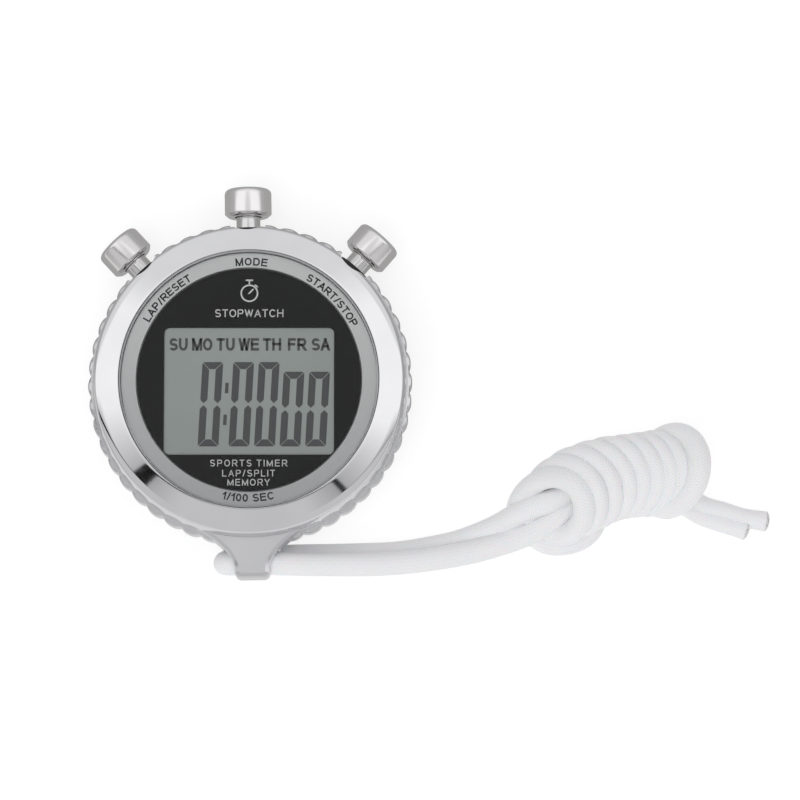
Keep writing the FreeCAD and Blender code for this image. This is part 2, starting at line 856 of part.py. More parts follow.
def make_power():
    """The button cell, its holder and its two contacts."""
    at_cell = Placement(Vector(S.cell_x.value, S.cell_y.value, 0), Rotation())
    cell_top = S.cell_bottom + S.cell_height
    cell = turned_body("cell", [
        (0, S.cell_bottom),
        (S.cell_radius, S.cell_bottom),
        (S.cell_radius, cell_top - S.cell_cap_height),
        (S.cell_cap_radius, cell_top - S.cell_cap_height),
        (S.cell_cap_radius, cell_top),
        (0, cell_top),
    ])
    finish(cell, "button_cell", at_cell)
    holder = turned_body("holder", ring_steps(
        S.holder_bore, S.holder_radius, S.cell_bottom, S.board_bottom))
    finish(holder, "battery_holder", at_cell)
    clip = block("clip", S.cell_x, S.cell_y, S.cell_bottom - S.clip_thickness,
                 S.clip_length, S.clip_width, S.clip_thickness)
    finish(clip, "battery_clip")
    contact = block("contact", S.cell_x, S.cell_y, cell_top,
                    S.contact_length, S.contact_width, S.contact_thickness)
    finish(contact, "battery_contact")


def make_buzzer():
    """The sounder disc on the case back and the coil spring that feeds it."""
    at_buzzer = Placement(Vector(S.buzzer_x.value, S.buzzer_y.value, 0), Rotation())
    disc_top = S.back_thickness + S.buzzer_thickness
    disc = turned_body("sounder", [
        (0, S.back_thickness),
        (S.buzzer_radius, S.back_thickness),
        (S.buzzer_radius, disc_top),
        (0, disc_top),
    ])
    finish(disc, "buzzer_disc", at_buzzer)
    start = disc_top + S.buzzer_wire_radius + S.bezel_gap
    length = S.board_bottom - start - S.buzzer_wire_radius - S.bezel_gap
    coil = coil_body("sounder_spring", S.buzzer_coil_radius, S.buzzer_wire_radius,
                     start, length, S.buzzer_coil_pitch)
    finish(coil, "buzzer_spring", at_buzzer)


# ---------------------------------------------------------------- pushers


def pusher_angles():
    """The three pushers and how far each stands clockwise from 12 o'clock, in degrees."""
    side = S.pusher_side_angle.value
    return {"mode": 0, "start_stop": side, "lap_reset": -side}


def make_cap(name, place):
    """The pusher cap: a rounded knob, hollow below so that it slides over the tube."""
    stem_room = S.stem_radius + S.tube_seat_clearance
    body = turned_body(name + "_knob", [
        (S.cap_socket_radius, S.cap_start),
        (S.cap_radius - S.cap_foot_chamfer, S.cap_start),
        (S.cap_radius, S.cap_start + S.cap_foot_chamfer),
        (S.cap_radius, S.cap_end - S.cap_edge_radius, S.cap_edge_radius),
        (S.cap_radius - S.cap_edge_radius, S.cap_end),
        (0, S.cap_end),
        (0, S.stem_end),
        (stem_room, S.stem_end),
        (stem_room, S.cap_socket_end),
        (S.cap_socket_radius, S.cap_socket_end),
    ])
    finish(body, name + "_cap", place)


def make_stem(name, place):
    """The pusher stem, grooved for its seal and for the clip that keeps it in."""
    groove_end = S.groove_start + S.groove_width
    seal_bottom = S.seal_position - S.seal_groove_share * S.seal_wire_radius
    seal_top = S.seal_position + S.seal_groove_share * S.seal_wire_radius
    body = turned_body(name + "_rod", [
        (0, S.stem_start),
        (S.stem_tip_radius, S.stem_start),
        (S.stem_radius, S.stem_start + S.stem_radius - S.stem_tip_radius),
        (S.stem_radius, S.groove_start),
        (S.groove_radius, S.groove_start),
        (S.groove_radius, groove_end),
        (S.stem_radius, groove_end),
        (S.stem_radius, seal_bottom),
        (S.seal_groove_radius - 2 * S.tube_seat_clearance, seal_bottom),
        (S.seal_groove_radius - 2 * S.tube_seat_clearance, seal_top),
        (S.stem_radius, seal_top),
        (S.stem_radius, S.stem_end),
        (0, S.stem_end),
    ])
    finish(body, name + "_stem", place)


def make_seal(name, place):
    """The rubber ring in the stem's groove."""
    ring = doc.addObject("Part::Torus", name + "_o_ring")
    bind(ring, "Radius1", S.seal_groove_radius + S.seal_wire_radius - S.tube_seat_clearance)
    bind(ring, "Radius2", S.seal_wire_radius - S.tube_seat_clearance)
    lift = Placement(Vector(0, 0, S.seal_position.value), Rotation())
    finish(ring, name + "_seal", place.multiply(lift))


def make_clip(name, place):
    """The open retaining clip that stops the stem from leaving the tube."""
    body = new_body(name + "_e_clip")
    thickness = S.retaining_thickness
    sketch = sketch_on(body, "XY_Plane", S.groove_start + (S.groove_width - thickness) / 2)
    add_circle(sketch, 0, 0, S.retaining_radius)
    add_circle(sketch, 0, 0, S.groove_radius + S.tube_seat_clearance)
    pad(body, sketch, thickness)
    mouth = sketch_on(body, "XY_Plane", S.groove_start)
    add_rectangle(mouth, S.retaining_radius, 0, 2 * S.retaining_radius, S.retaining_mouth)
    pocket(body, mouth, S.groove_width)
    finish(body, name + "_clip", place)


def make_tube(name, place):
    """The guide tube in the case wall, with a collar outside and a well for the spring."""
    body = turned_body(name + "_guide", [
        (S.tube_bore, S.tube_start),
        (S.tube_radius, S.tube_start),
        (S.tube_radius, S.recess_floor),
        (S.tube_collar_radius, S.recess_floor),
        (S.tube_collar_radius, S.recess_floor + S.tube_collar_length),
        (S.tube_radius, S.recess_floor + S.tube_collar_length),
        (S.tube_radius, S.tube_end),
        (S.tube_spring_bore, S.tube_end),
        (S.tube_spring_bore, S.tube_spring_floor),
        (S.tube_bore, S.tube_spring_floor),
    ])
    finish(body, name + "_tube", place)


def make_return_spring(name, place):
    """The return spring between the tube's well and the cap."""
    start = S.tube_spring_floor + S.spring_end_gap
    length = S.cap_socket_end - S.spring_end_gap - start
    body = coil_body(name + "_coil_spring", S.spring_radius, S.spring_wire_radius,
                     start, length, S.spring_pitch)
    finish(body, name + "_spring", place)


def make_leaf(name, angle):
    """The switch leaf: a foot under the board and a blade in front of the stem."""
    body = new_body(name + "_leaf")
    sketch = sketch_on(body, "YZ_Plane", -S.leaf_width / 2)
    blade_front = S.leaf_position + S.leaf_thickness
    foot_bottom = S.board_bottom - S.leaf_thickness
    add_outline(sketch, [
        (S.leaf_position, S.leaf_bottom),
        (blade_front, S.leaf_bottom),
        (blade_front, S.board_bottom),
        (S.leaf_foot_start, S.board_bottom),
        (S.leaf_foot_start, foot_bottom),
        (S.leaf_position, foot_bottom),
    ])
    pad(body, sketch, S.leaf_width)
    finish(body, name + "_switch_leaf", Placement(Vector(), Rotation(Vector(0, 0, 1), -angle)))


def make_pusher(name, angle):
    place = pusher_placement(angle)
    make_cap(name, place)
    make_stem(name, place)
    make_seal(name, place)
    make_clip(name, place)
    make_tube(name, place)
    make_return_spring(name, place)
    make_leaf(name, angle)


# ---------------------------------------------------------------- neck cord


def cord_along(path, start, direction):
    """A round cord swept along a wire."""
    section = Part.Wire(Part.Circle(start, direction, S.cord_radius.value).toShape())
    return path.makePipeShell([section], True, True)


def smooth_cord(points):
    """A round cord along a smooth curve through the points."""
    curve = Part.BSplineCurve()
    curve.interpolate(points)
    tangent = curve.tangent(curve.FirstParameter)[0]
    return cord_along(Part.Wire(curve.toShape()), points[0], tangent)


def make_lanyard_loop():
    """The short bight that is threaded through the lug and turns back under it."""
    upper = Vector(0, -S.eye_distance.value, S.eye_height.value)
    lower = Vector(0, -S.cord_return_distance.value, S.cord_bed.value)
    bend_radius = (upper - lower).Length / 2
    bend_x = Vector(-S.cord_bend_start.value, 0, 0)
    end_x = Vector(S.swing_x.value - S.cord_radius.value - S.swing_gap.value, 0, 0)
    turning_point = (upper + lower) * 0.5 + bend_x - Vector(bend_radius, 0, 0)
    path = Part.Wire([
        Part.LineSegment(upper + end_x, upper + bend_x).toShape(),
        Part.Arc(upper + bend_x, turning_point, lower + bend_x).toShape(),
        Part.LineSegment(lower + bend_x, lower + end_x).toShape(),
    ])
    loop = doc.addObject("Part::Feature", "cord_bight")
    loop.Shape = cord_along(path, upper + end_x, Vector(1, 0, 0))
    finish(loop, "lanyard_loop")


def wrap_steps():
    """The wrapped part in section: a row of rounded turns round a solid middle."""
    half_pitch = S.wrap_pitch / 2
    valley_depth = S.cord_radius.value - math.sqrt(S.cord_radius.value ** 2 - half_pitch.value ** 2)
    valley = S.wrap_radius - valley_depth
    turns = int(S.wrap_turns.value)
    steps = [(0, 0)]
    steps += [(valley, turn * S.wrap_pitch, S.cord_radius) for turn in range(turns)]
    steps += [(valley, turns * S.wrap_pitch), (0, turns * S.wrap_pitch)]
    return steps


def make_lanyard_cord():
    """The rest of the cord: two strands, the wrapped hank, its end ring and two cut ends.

    Strand points are set out from the swing axis, and wrap points from the start of the hank:
    along, then across, then above the cord's level at that end.
    """
    swing = Vector(S.swing_x.value, S.swing_y.value, 0)
    eye_level = S.eye_height.value
    bed = S.cord_bed.value
    front_strand_run = ((0, 0, 0), (12, -0.9, -0.6), (26, 0, -1.6))
    front_strand_end = ((-7, -3.2, -3), (2, -2.4, -1.5))
    rear_strand_run = ((0, 0, 0), (12, 0.8, 0), (26, 1.4, 0))
    rear_strand_end = ((-7, 2.4, 0.2), (2, 2, 2))
    tail_root = ((-2, -2, 3), (4, -6, 1))
    tail_ends = ((16, -14.4, 0), (10.5, -16.6, 0))
    ring_lead = 1.2
    knuckle_height = 2.4

    wrap_start = Vector(S.wrap_x.value, S.wrap_y.value, S.wrap_height.value)
    flat_turn = Rotation(Vector(0, 0, 1), S.wrap_angle.value)
    wrap_turn = flat_turn * Rotation(Vector(0, 1, 0), 90)
    wrap_length = S.wrap_turns.value * S.wrap_pitch.value

    def in_wrap(along, across, height):
        """A point given along the wrap's axis, across it and above the table."""
        point = wrap_start + flat_turn.multVec(Vector(along, across, 0))
        return Vector(point.x, point.y, height)

    def strand(run, end, level):
        points = [swing + Vector(along, across, level + lift) for along, across, lift in run]
        points += [in_wrap(along, across, level + lift) for along, across, lift in end]
        return smooth_cord(points)

    def knuckle(level):
        """Where the cord bends about the swing axis: a ball with a round waist."""
        ball = Part.makeSphere(S.cord_radius.value, swing + Vector(0, 0, level))
        foot = swing + Vector(0, 0, level - knuckle_height / 2)
        waist = Part.makeCylinder(S.cord_radius.value, knuckle_height, foot)
        return ball.fuse(waist)

    def tail(end):
        run = tail_root + (end,)
        return smooth_cord([in_wrap(wrap_length + along, across, bed + lift) for along, across, lift in run])

    wrap_body = turned_body("wrap", wrap_steps())
    wrap_body.Placement = Placement(wrap_start, wrap_turn)
    doc.recompute()
    ring = Part.makeTorus(S.wrap_ring_radius.value, S.cord_radius.value)
    ring.Placement = Placement(in_wrap(wrap_length + ring_lead, 0, S.wrap_ring_height.value), wrap_turn)
    strands = [
        strand(front_strand_run, front_strand_end, eye_level),
        strand(rear_strand_run, rear_strand_end, bed),
    ]
    knuckles = [knuckle(level) for level in (eye_level, bed)]
    tails = [tail(end) for end in tail_ends]
    cord = doc.addObject("Part::Feature", "cord_hank")
    cord.Shape = wrap_body.Shape.multiFuse([ring] + strands + knuckles + tails)
    finish(cord, "lanyard_cord")


# ---------------------------------------------------------------- the whole stopwatch


def write_parts():
    """Check every object and every sub-part, then write one file for each sub-part."""
    doc.recompute()
    for piece in doc.Objects:
        if "Invalid" in piece.State or "Error" in piece.State:
            raise RuntimeError(f"{piece.Label}: {piece.State}")
    for piece in sub_parts:
        if piece.Shape.isNull() or not piece.Shape.isValid() or not piece.Shape.Solids:
            raise RuntimeError(f"{piece.Label} has no valid solid shape")
    os.makedirs("parts", exist_ok=True)
    for piece in sub_parts:
        piece.Shape.exportStep(f"parts/{piece.Label}.step")
    print(f"{len(sub_parts)} sub-parts written")


make_case_body()
make_front_bezel()
make_case_back()
make_bezel_gasket()
make_face()
make_display()
make_module_frame()
make_board()
make_power()
make_buzzer()
for pusher, pusher_angle in pusher_angles().items():
    make_pusher(pusher, pusher_angle)
make_lanyard_loop()
make_lanyard_cord()
write_parts()
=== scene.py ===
"""Looks of the hand-held stopwatch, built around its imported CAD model.

Lengths are in millimetres until a mesh is written, where MM turns them into Blender's metres.
The watch lies on its back: +Z out of the display, +Y to 12 o'clock, +X to the side of the cord.
"""
import math

import bpy
from mathutils import Matrix, Vector


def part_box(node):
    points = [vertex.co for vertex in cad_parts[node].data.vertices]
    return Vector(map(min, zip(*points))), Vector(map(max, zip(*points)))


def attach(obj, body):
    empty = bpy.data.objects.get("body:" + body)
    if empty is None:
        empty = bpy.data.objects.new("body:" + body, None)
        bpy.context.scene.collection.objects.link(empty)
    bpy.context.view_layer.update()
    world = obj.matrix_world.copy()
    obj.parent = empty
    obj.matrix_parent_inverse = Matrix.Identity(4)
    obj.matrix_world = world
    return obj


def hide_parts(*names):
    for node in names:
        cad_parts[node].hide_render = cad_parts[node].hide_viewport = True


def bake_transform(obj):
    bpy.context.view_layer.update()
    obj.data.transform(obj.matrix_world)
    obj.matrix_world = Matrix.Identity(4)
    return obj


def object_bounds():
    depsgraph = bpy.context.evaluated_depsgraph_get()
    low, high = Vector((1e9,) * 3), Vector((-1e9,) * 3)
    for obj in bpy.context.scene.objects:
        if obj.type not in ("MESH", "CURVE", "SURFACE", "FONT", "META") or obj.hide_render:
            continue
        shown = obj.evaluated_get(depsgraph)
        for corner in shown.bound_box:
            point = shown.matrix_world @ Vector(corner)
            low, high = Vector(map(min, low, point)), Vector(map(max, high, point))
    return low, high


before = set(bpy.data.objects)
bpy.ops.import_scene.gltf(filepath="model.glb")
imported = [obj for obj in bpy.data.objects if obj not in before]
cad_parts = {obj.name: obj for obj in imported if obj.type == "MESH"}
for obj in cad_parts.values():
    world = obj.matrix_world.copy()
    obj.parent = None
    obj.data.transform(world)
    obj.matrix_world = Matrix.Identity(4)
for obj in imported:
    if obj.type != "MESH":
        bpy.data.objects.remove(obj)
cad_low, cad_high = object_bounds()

MM = 0.001
TURN = 2 * math.pi
QUARTER = math.pi / 2


def box_mm(node):
    """A CAD node's lowest and highest corners in millimetres."""
    low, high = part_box(node)
    return Vector(low) / MM, Vector(high) / MM


BEZEL_LOW, BEZEL_HIGH = box_mm("front_bezel")
CASE_LOW, CASE_HIGH = box_mm("case_body")
LENS_LOW, LENS_HIGH = box_mm("lens")
PANEL_LOW, PANEL_HIGH = box_mm("face_panel")
RING_LOW, RING_HIGH = box_mm("legend_ring")
GLASS_LOW, GLASS_HIGH = box_mm("lcd_panel")
CAP_LOW, CAP_HIGH = box_mm("mode_cap")

FLANGE = BEZEL_HIGH.x + 0.05
SPLIT = 9.0
SKIRT_TOP = Vector((29.45, 15.35))
PUSHER_HEIGHT = (CAP_LOW.z + CAP_HIGH.z) / 2
PUSHERS = {"mode": 0, "start_stop": 42, "lap_reset": -42}
EYE = Vector((0, -34.3, 8.1))
CORD = 2.25


# ---------------------------------------------------------------- materials


class Shader:
    """A small helper that adds and joins the nodes of one material or of the world."""

    def __init__(self, owner):
        owner.use_nodes = True
        self.owner = owner
        self.tree = owner.node_tree

    def node(self, kind, inputs=None, **settings):
        made = self.tree.nodes.new(kind)
        for key, value in settings.items():
            setattr(made, key, value)
        for key, value in (inputs or {}).items():
            self.feed(made.inputs[key], value)
        return made

    def feed(self, socket, value):
        """Set a socket to a number, or link it to another socket."""
        if isinstance(value, bpy.types.NodeSocket):
            self.tree.links.new(value, socket)
        else:
            socket.default_value = value

    def surface(self, **inputs):
        """Set the inputs of the material's principled shader."""
        for key, value in inputs.items():
            self.feed(self.tree.nodes["Principled BSDF"].inputs[key.replace("_", " ")], value)

    def place(self, scale=(1, 1, 1)):
        """The object's own coordinates, in metres, times a scale."""
        coordinates = self.node("ShaderNodeTexCoord")
        mapping = self.node("ShaderNodeMapping", {"Vector": coordinates.outputs["Object"], "Scale": scale})
        return mapping.outputs["Vector"]

    def split(self, vector):
        parts = self.node("ShaderNodeSeparateXYZ", {"Vector": vector})
        return parts.outputs["X"], parts.outputs["Y"], parts.outputs["Z"]

    def noise(self, scale, detail=4.0, vector=None):
        made = self.node("ShaderNodeTexNoise", {
            "Vector": vector or self.place(), "Scale": scale, "Detail": detail})
        return made.outputs["Fac"]

    def math(self, operation, first, second=0.0):
        made = self.node("ShaderNodeMath", operation=operation)
        self.feed(made.inputs[0], first)
        self.feed(made.inputs[1], second)
        return made.outputs[0]

    def span(self, value, low, high, new_low, new_high):
        """Map a value from one range to another, held at its ends."""
        made = self.node("ShaderNodeMapRange", {
            "Value": value, "From Min": low, "From Max": high, "To Min": new_low, "To Max": new_high})
        return made.outputs["Result"]

    def blend(self, factor, first, second):
        made = self.node("ShaderNodeMix", data_type="RGBA")
        self.feed(made.inputs["Factor"], factor)
        self.feed(made.inputs[6], rgba(first))
        self.feed(made.inputs[7], rgba(second))
        return made.outputs[2]

    def bump(self, height, strength, distance):
        made = self.node("ShaderNodeBump", {"Height": height, "Strength": strength, "Distance": distance})
        self.surface(Normal=made.outputs["Normal"])

    def polar(self):
        """Distance from the Z axis in metres and the angle round it in radians."""
        x, y, _ = self.split(self.place())
        square = self.math("ADD", self.math("MULTIPLY", x, x), self.math("MULTIPLY", y, y))
        return self.math("SQRT", square), self.math("ARCTAN2", y, x)

    def triangle(self, value):
        """A wave between 0 and 1 with straight sides and a period of 2."""
        part = self.math("FRACT", self.math("MULTIPLY", value, 0.5))
        return self.math("ABSOLUTE", self.math("SUBTRACT", self.math("MULTIPLY", part, 2.0), 1.0))


def rgba(colour):
    """A colour with an alpha of one; a socket stays as it is."""
    if isinstance(colour, bpy.types.NodeSocket):
        return colour
    return (*colour, 1.0)


def shade(colour, factor):
    return tuple(channel * factor for channel in colour)


def new_material(name):
    return Shader(bpy.data.materials.new(name))


def plated(name, colour, rough, spread, grain=900.0, relief=0.01):
    """Plated metal: a slow change of gloss, faint grain and handling marks."""
    shader = new_material(name)
    slow = shader.noise(90.0, 3.0)
    fine = shader.noise(grain, 5.0)
    rubbed = shader.math("ADD", shader.math("MULTIPLY", slow, 0.65), shader.math("MULTIPLY", fine, 0.35))
    shader.surface(
        Base_Color=shader.blend(shader.span(slow, 0.35, 0.65, 0.0, 1.0), colour, shade(colour, 0.95)),
        Metallic=1.0,
        Roughness=shader.span(rubbed, 0.3, 0.7, rough - spread, rough + spread),
    )
    shader.bump(fine, relief, 0.00002)
    return shader.owner


def moulded(name, colour, rough, grain=4000.0, relief=0.15, gloss=0.5):
    """Moulded plastic or rubber with a fine spark-eroded grain."""
    shader = new_material(name)
    fine = shader.noise(grain, 3.0)
    slow = shader.noise(150.0, 2.0)
    light = tuple(channel * 1.25 + 0.001 for channel in colour)
    shader.surface(
        Base_Color=shader.blend(slow, colour, light),
        Specular_IOR_Level=gloss,
        Roughness=shader.span(fine, 0.3, 0.7, rough - 0.08, rough + 0.08),
    )
    shader.bump(fine, relief, 0.00003)
    return shader.owner


def turned_metal(name, colour, rough):
    """Metal with fine concentric tool marks round Z."""
    shader = new_material(name)
    distance, _ = shader.polar()
    drift = shader.noise(260.0, 3.0)
    rings = shader.math("ADD", shader.math("MULTIPLY", distance, 9000.0), shader.math("MULTIPLY", drift, 9.0))
    lines = shader.math("SINE", rings)
    slow = shader.noise(120.0, 3.0)
    shader.surface(
        Base_Color=shader.blend(slow, colour, shade(colour, 0.9)),
        Metallic=1.0,
        Roughness=shader.span(lines, -1.0, 1.0, rough - 0.05, rough + 0.06),
    )
    shader.bump(lines, 0.08, 0.00001)
    return shader.owner


def brushed_ring_metal():
    """The satin legend ring: fine marks that run round it, and painted shade that makes it a little darker
    towards 6 o'clock.
    """
    shader = new_material("satin_ring_metal")
    distance, angle = shader.polar()
    stretched = shader.node("ShaderNodeCombineXYZ", {
        "X": shader.math("MULTIPLY", distance, 9000.0), "Y": shader.math("MULTIPLY", angle, 5.0)})
    marks = shader.noise(1.0, 5.0, stretched.outputs["Vector"])
    _, y, _ = shader.split(shader.place())
    # painted shade: the ring's colour runs from darker at 6 o'clock to lighter towards 12 o'clock
    base = shader.blend(shader.span(y, -0.024, 0.012, 0.0, 1.0), (0.48, 0.48, 0.49), (0.68, 0.68, 0.685))
    shader.surface(
        Base_Color=shader.blend(shader.span(marks, 0.3, 0.7, 0.0, 0.12), base, (0.78, 0.78, 0.78)),
        Metallic=0.9,
        Roughness=shader.span(marks, 0.3, 0.7, 0.30, 0.42),
    )
    shader.bump(marks, 0.06, 0.00001)
    return shader.owner


def lens_glass():
    """Clear lens: it lets light straight through and shows a faint reflection."""
    shader = new_material("lens_clear")
    haze = shader.noise(70.0, 3.0)
    clear = shader.node("ShaderNodeBsdfTransparent", {"Color": (0.98, 0.985, 0.98, 1.0)})
    gloss = shader.node("ShaderNodeBsdfGlossy", {
        "Color": (1.0, 1.0, 1.0, 1.0), "Roughness": shader.span(haze, 0.3, 0.7, 0.03, 0.09)})
    fresnel = shader.node("ShaderNodeFresnel", {"IOR": 1.25})
    mix = shader.node("ShaderNodeMixShader", {
        0: fresnel.outputs["Fac"], 1: clear.outputs["BSDF"], 2: gloss.outputs["BSDF"]})
    shader.feed(shader.tree.nodes["Material Output"].inputs["Surface"], mix.outputs["Shader"])
    return shader.owner


def display_ground():
    """The reflective ground of the display: grey-green, with painted light that makes it a little lighter
    towards the top.
    """
    shader = new_material("display_ground")
    _, y, _ = shader.split(shader.place())
    fine = shader.noise(9000.0, 2.0)
    slow = shader.noise(60.0, 2.0)
    # painted light: the ground's colour runs from darker at the bottom to lighter at the top of the display
    ground = shader.blend(shader.span(y, -0.015, 0.010, 0.0, 1.0), (0.335, 0.36, 0.35), (0.365, 0.395, 0.382))
    mottled = shader.blend(shader.span(fine, 0.3, 0.7, 0.0, 0.08), ground, (0.29, 0.31, 0.30))
    shader.surface(
        Base_Color=shader.blend(shader.span(slow, 0.3, 0.7, 0.0, 0.12), mottled, (0.40, 0.43, 0.41)),
        Specular_IOR_Level=0.2,
        Roughness=shader.span(fine, 0.3, 0.7, 0.38, 0.5),
    )
    shader.bump(fine, 0.05, 0.00001)
    return shader.owner


def printed(name, colour, rough):
    """Printing ink with a slightly uneven film."""
    shader = new_material(name)
    fine = shader.noise(5000.0, 3.0)
    shader.surface(
        Base_Color=shader.blend(shader.span(fine, 0.3, 0.7, 0.0, 0.3), colour, shade(colour, 0.85)),
        Specular_IOR_Level=0.2,
        Roughness=shader.span(fine, 0.3, 0.7, rough - 0.05, rough + 0.05),
    )
    return shader.owner


def braid_cloth():
    """White braided cord, with painted shade where the yarns dip between their crowns. Its UV map counts the
    columns of yarn round it and the yarns along it.
    """
    shader = new_material("cord_braid")
    coordinates = shader.node("ShaderNodeUVMap", uv_map="braid")
    around, along, _ = shader.split(coordinates.outputs["UV"])
    slant = shader.math("MULTIPLY", shader.triangle(around), BRAID_SLANT)
    yarn = shader.math("SINE", shader.math("MULTIPLY", shader.math("ADD", along, slant), math.pi))
    edge = shader.math("SINE", shader.math("MULTIPLY", around, math.pi))
    crown = shader.math("MULTIPLY", shader.math("ABSOLUTE", yarn), shader.math(
        "POWER", shader.math("ABSOLUTE", edge), 0.35))
    hairs = shader.noise(2600.0, 5.0)
    height = shader.math("ADD", crown, shader.math("MULTIPLY", hairs, 0.5))
    soiled = shader.noise(120.0, 4.0)
    # painted shade: darker colour where the yarns dip, lighter on their crowns
    yarn_shade_tone = shader.blend(shader.span(crown, 0.0, 0.5, 0.0, 1.0), (0.78, 0.78, 0.80), (0.90, 0.90, 0.905))
    shader.surface(
        Base_Color=shader.blend(shader.span(soiled, 0.45, 0.75, 0.0, 0.2), yarn_shade_tone, (0.82, 0.82, 0.81)),
        Roughness=shader.span(hairs, 0.3, 0.7, 0.8, 0.95),
        Sheen_Weight=0.25,
        Sheen_Roughness=0.5,
        Subsurface_Weight=0.15,
        Subsurface_Scale=0.0006,
    )
    shader.bump(height, 0.3, 0.00006)
    return shader.owner


def cord_end():
    """The heat-sealed cut end of the cord."""
    shader = new_material("cord_sealed_end")
    fine = shader.noise(1800.0, 6.0)
    shader.surface(
        Base_Color=shader.blend(shader.span(fine, 0.4, 0.6, 0.0, 1.0), (0.55, 0.55, 0.55), (0.84, 0.84, 0.83)),
        Roughness=shader.span(fine, 0.3, 0.7, 0.45, 0.8),
    )
    shader.bump(fine, 0.6, 0.0002)
    return shader.owner


def board_green():
    """Solder mask over copper tracks."""
    shader = new_material("board_green")
    tracks = shader.node("ShaderNodeTexBrick", {
        "Vector": shader.place(), "Scale": 260.0, "Mortar Size": 0.03,
        "Color1": (0.03, 0.18, 0.08, 1), "Color2": (0.04, 0.22, 0.1, 1), "Mortar": (0.08, 0.35, 0.16, 1)})
    fine = shader.noise(3000.0, 3.0)
    shader.surface(Base_Color=tracks.outputs["Color"], Roughness=shader.span(fine, 0.3, 0.7, 0.25, 0.4))
    shader.bump(tracks.outputs["Fac"], 0.2, 0.00003)
    return shader.owner


def floor_white():
    """A plain pale table that stays nearly white in the picture; polished metal sees it as grey."""
    shader = new_material("table_white")
    slow = shader.noise(14.0, 2.0)
    shader.surface(
        Base_Color=shader.blend(slow, (0.32, 0.32, 0.32), (0.34, 0.34, 0.34)),
        Roughness=0.8,
        Specular_IOR_Level=0.1,
        Emission_Color=(1.0, 1.0, 1.0, 1.0),
        Emission_Strength=0.74,
    )
    x, y, _ = shader.split(shader.place())
    nearness = shader.math("ADD", y, shader.math("MULTIPLY", x, 0.2))
    seen = shader.node("ShaderNodeLightPath").outputs["Is Glossy Ray"]
    grey = shader.node("ShaderNodeEmission", {
        "Color": (1.0, 1.0, 1.0, 1.0), "Strength": shader.span(nearness, -0.022, 0.002, 0.68, 0.36)})
    mix = shader.node("ShaderNodeMixShader", {
        0: seen, 1: shader.tree.nodes["Principled BSDF"].outputs["BSDF"], 2: grey.outputs["Emission"]})
    shader.feed(shader.tree.nodes["Material Output"].inputs["Surface"], mix.outputs["Shader"])
    return shader.owner


# ---------------------------------------------------------------- meshes


def add_piece(name, mesh, materials, body):
    """Put a mesh in the scene as a piece; with a body, it rides on that CAD body."""
    piece = bpy.data.objects.new(name, mesh)
    bpy.context.scene.collection.objects.link(piece)
    for material in materials:
        piece.data.materials.append(material)
    if body:
        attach(piece, body)
    return piece


def make_mesh(name, points, faces, sharp_degrees=35.0, matrix=None):
    """A smooth-shaded mesh from points in millimetres, with sharp edges above an angle."""
    if matrix is not None:
        points = [matrix @ Vector(point) for point in points]
    mesh = bpy.data.meshes.new(name)
    mesh.from_pydata([tuple(Vector(point) * MM) for point in points], [], faces)
    mesh.update()
    mesh.polygons.foreach_set("use_smooth", [True] * len(mesh.polygons))
    mesh.set_sharp_from_angle(angle=math.radians(sharp_degrees))
    return mesh


def rounded(corners, steps=5):
    """An outline with its corners rounded; a corner is (x, y) or (x, y, radius)."""
    outline = []
    count = len(corners)
    for index, corner in enumerate(corners):
        here = Vector(corner[:2])
        if len(corner) == 2:
            outline.append(tuple(here))
            continue
        radius = corner[2]
        back = (Vector(corners[index - 1][:2]) - here).normalized()
        ahead = (Vector(corners[(index + 1) % count][:2]) - here).normalized()
        half = math.acos(max(-1.0, min(1.0, back.dot(ahead)))) / 2
        reach = radius / math.tan(half)
        centre = here + (back + ahead).normalized() * (radius / math.sin(half))
        start = here + back * reach - centre
        sweep = (math.pi - 2 * half) * (1.0 if back.x * ahead.y < back.y * ahead.x else -1.0)
        for step in range(steps + 1):
            turn = Matrix.Rotation(sweep * step / steps, 2)
            outline.append(tuple(centre + turn @ start))
    return outline


def lathe(name, outline, count=192, ripple=None, matrix=None):
    """Turn a closed (radius, height) outline round Z. ripple(angle, radius) adds to the radius."""
    points, rows = [], []
    for radius, height in outline:
        if radius == 0:
            rows.append([len(points)] * count)
            points.append((0.0, 0.0, height))
            continue
        rows.append(list(range(len(points), len(points) + count)))
        for step in range(count):
            angle = TURN * step / count
            reach = radius + (ripple(angle, radius) if ripple else 0.0)
            points.append((reach * math.cos(angle), reach * math.sin(angle), height))
    faces = []
    for index, row in enumerate(rows):
        above = rows[(index + 1) % len(rows)]
        for step in range(count):
            after = (step + 1) % count
            corners = list(dict.fromkeys((row[step], row[after], above[after], above[step])))
            if len(corners) > 2:
                faces.append(corners)
    return make_mesh(name, points, faces, matrix=matrix)


def wall_levels(low, high, low_edge, high_edge, steps):
    """Heights and insets up a wall, with a quarter round at each edge that has one."""
    levels = []
    for step in range(steps + 1) if low_edge else [steps]:
        angle = QUARTER * step / steps
        levels.append((low + low_edge * (1 - math.cos(angle)), low_edge * (1 - math.sin(angle))))
    for step in range(steps + 1) if high_edge else [0]:
        angle = QUARTER * step / steps
        levels.append((high - high_edge * (1 - math.sin(angle)), high_edge * (1 - math.cos(angle))))
    return levels


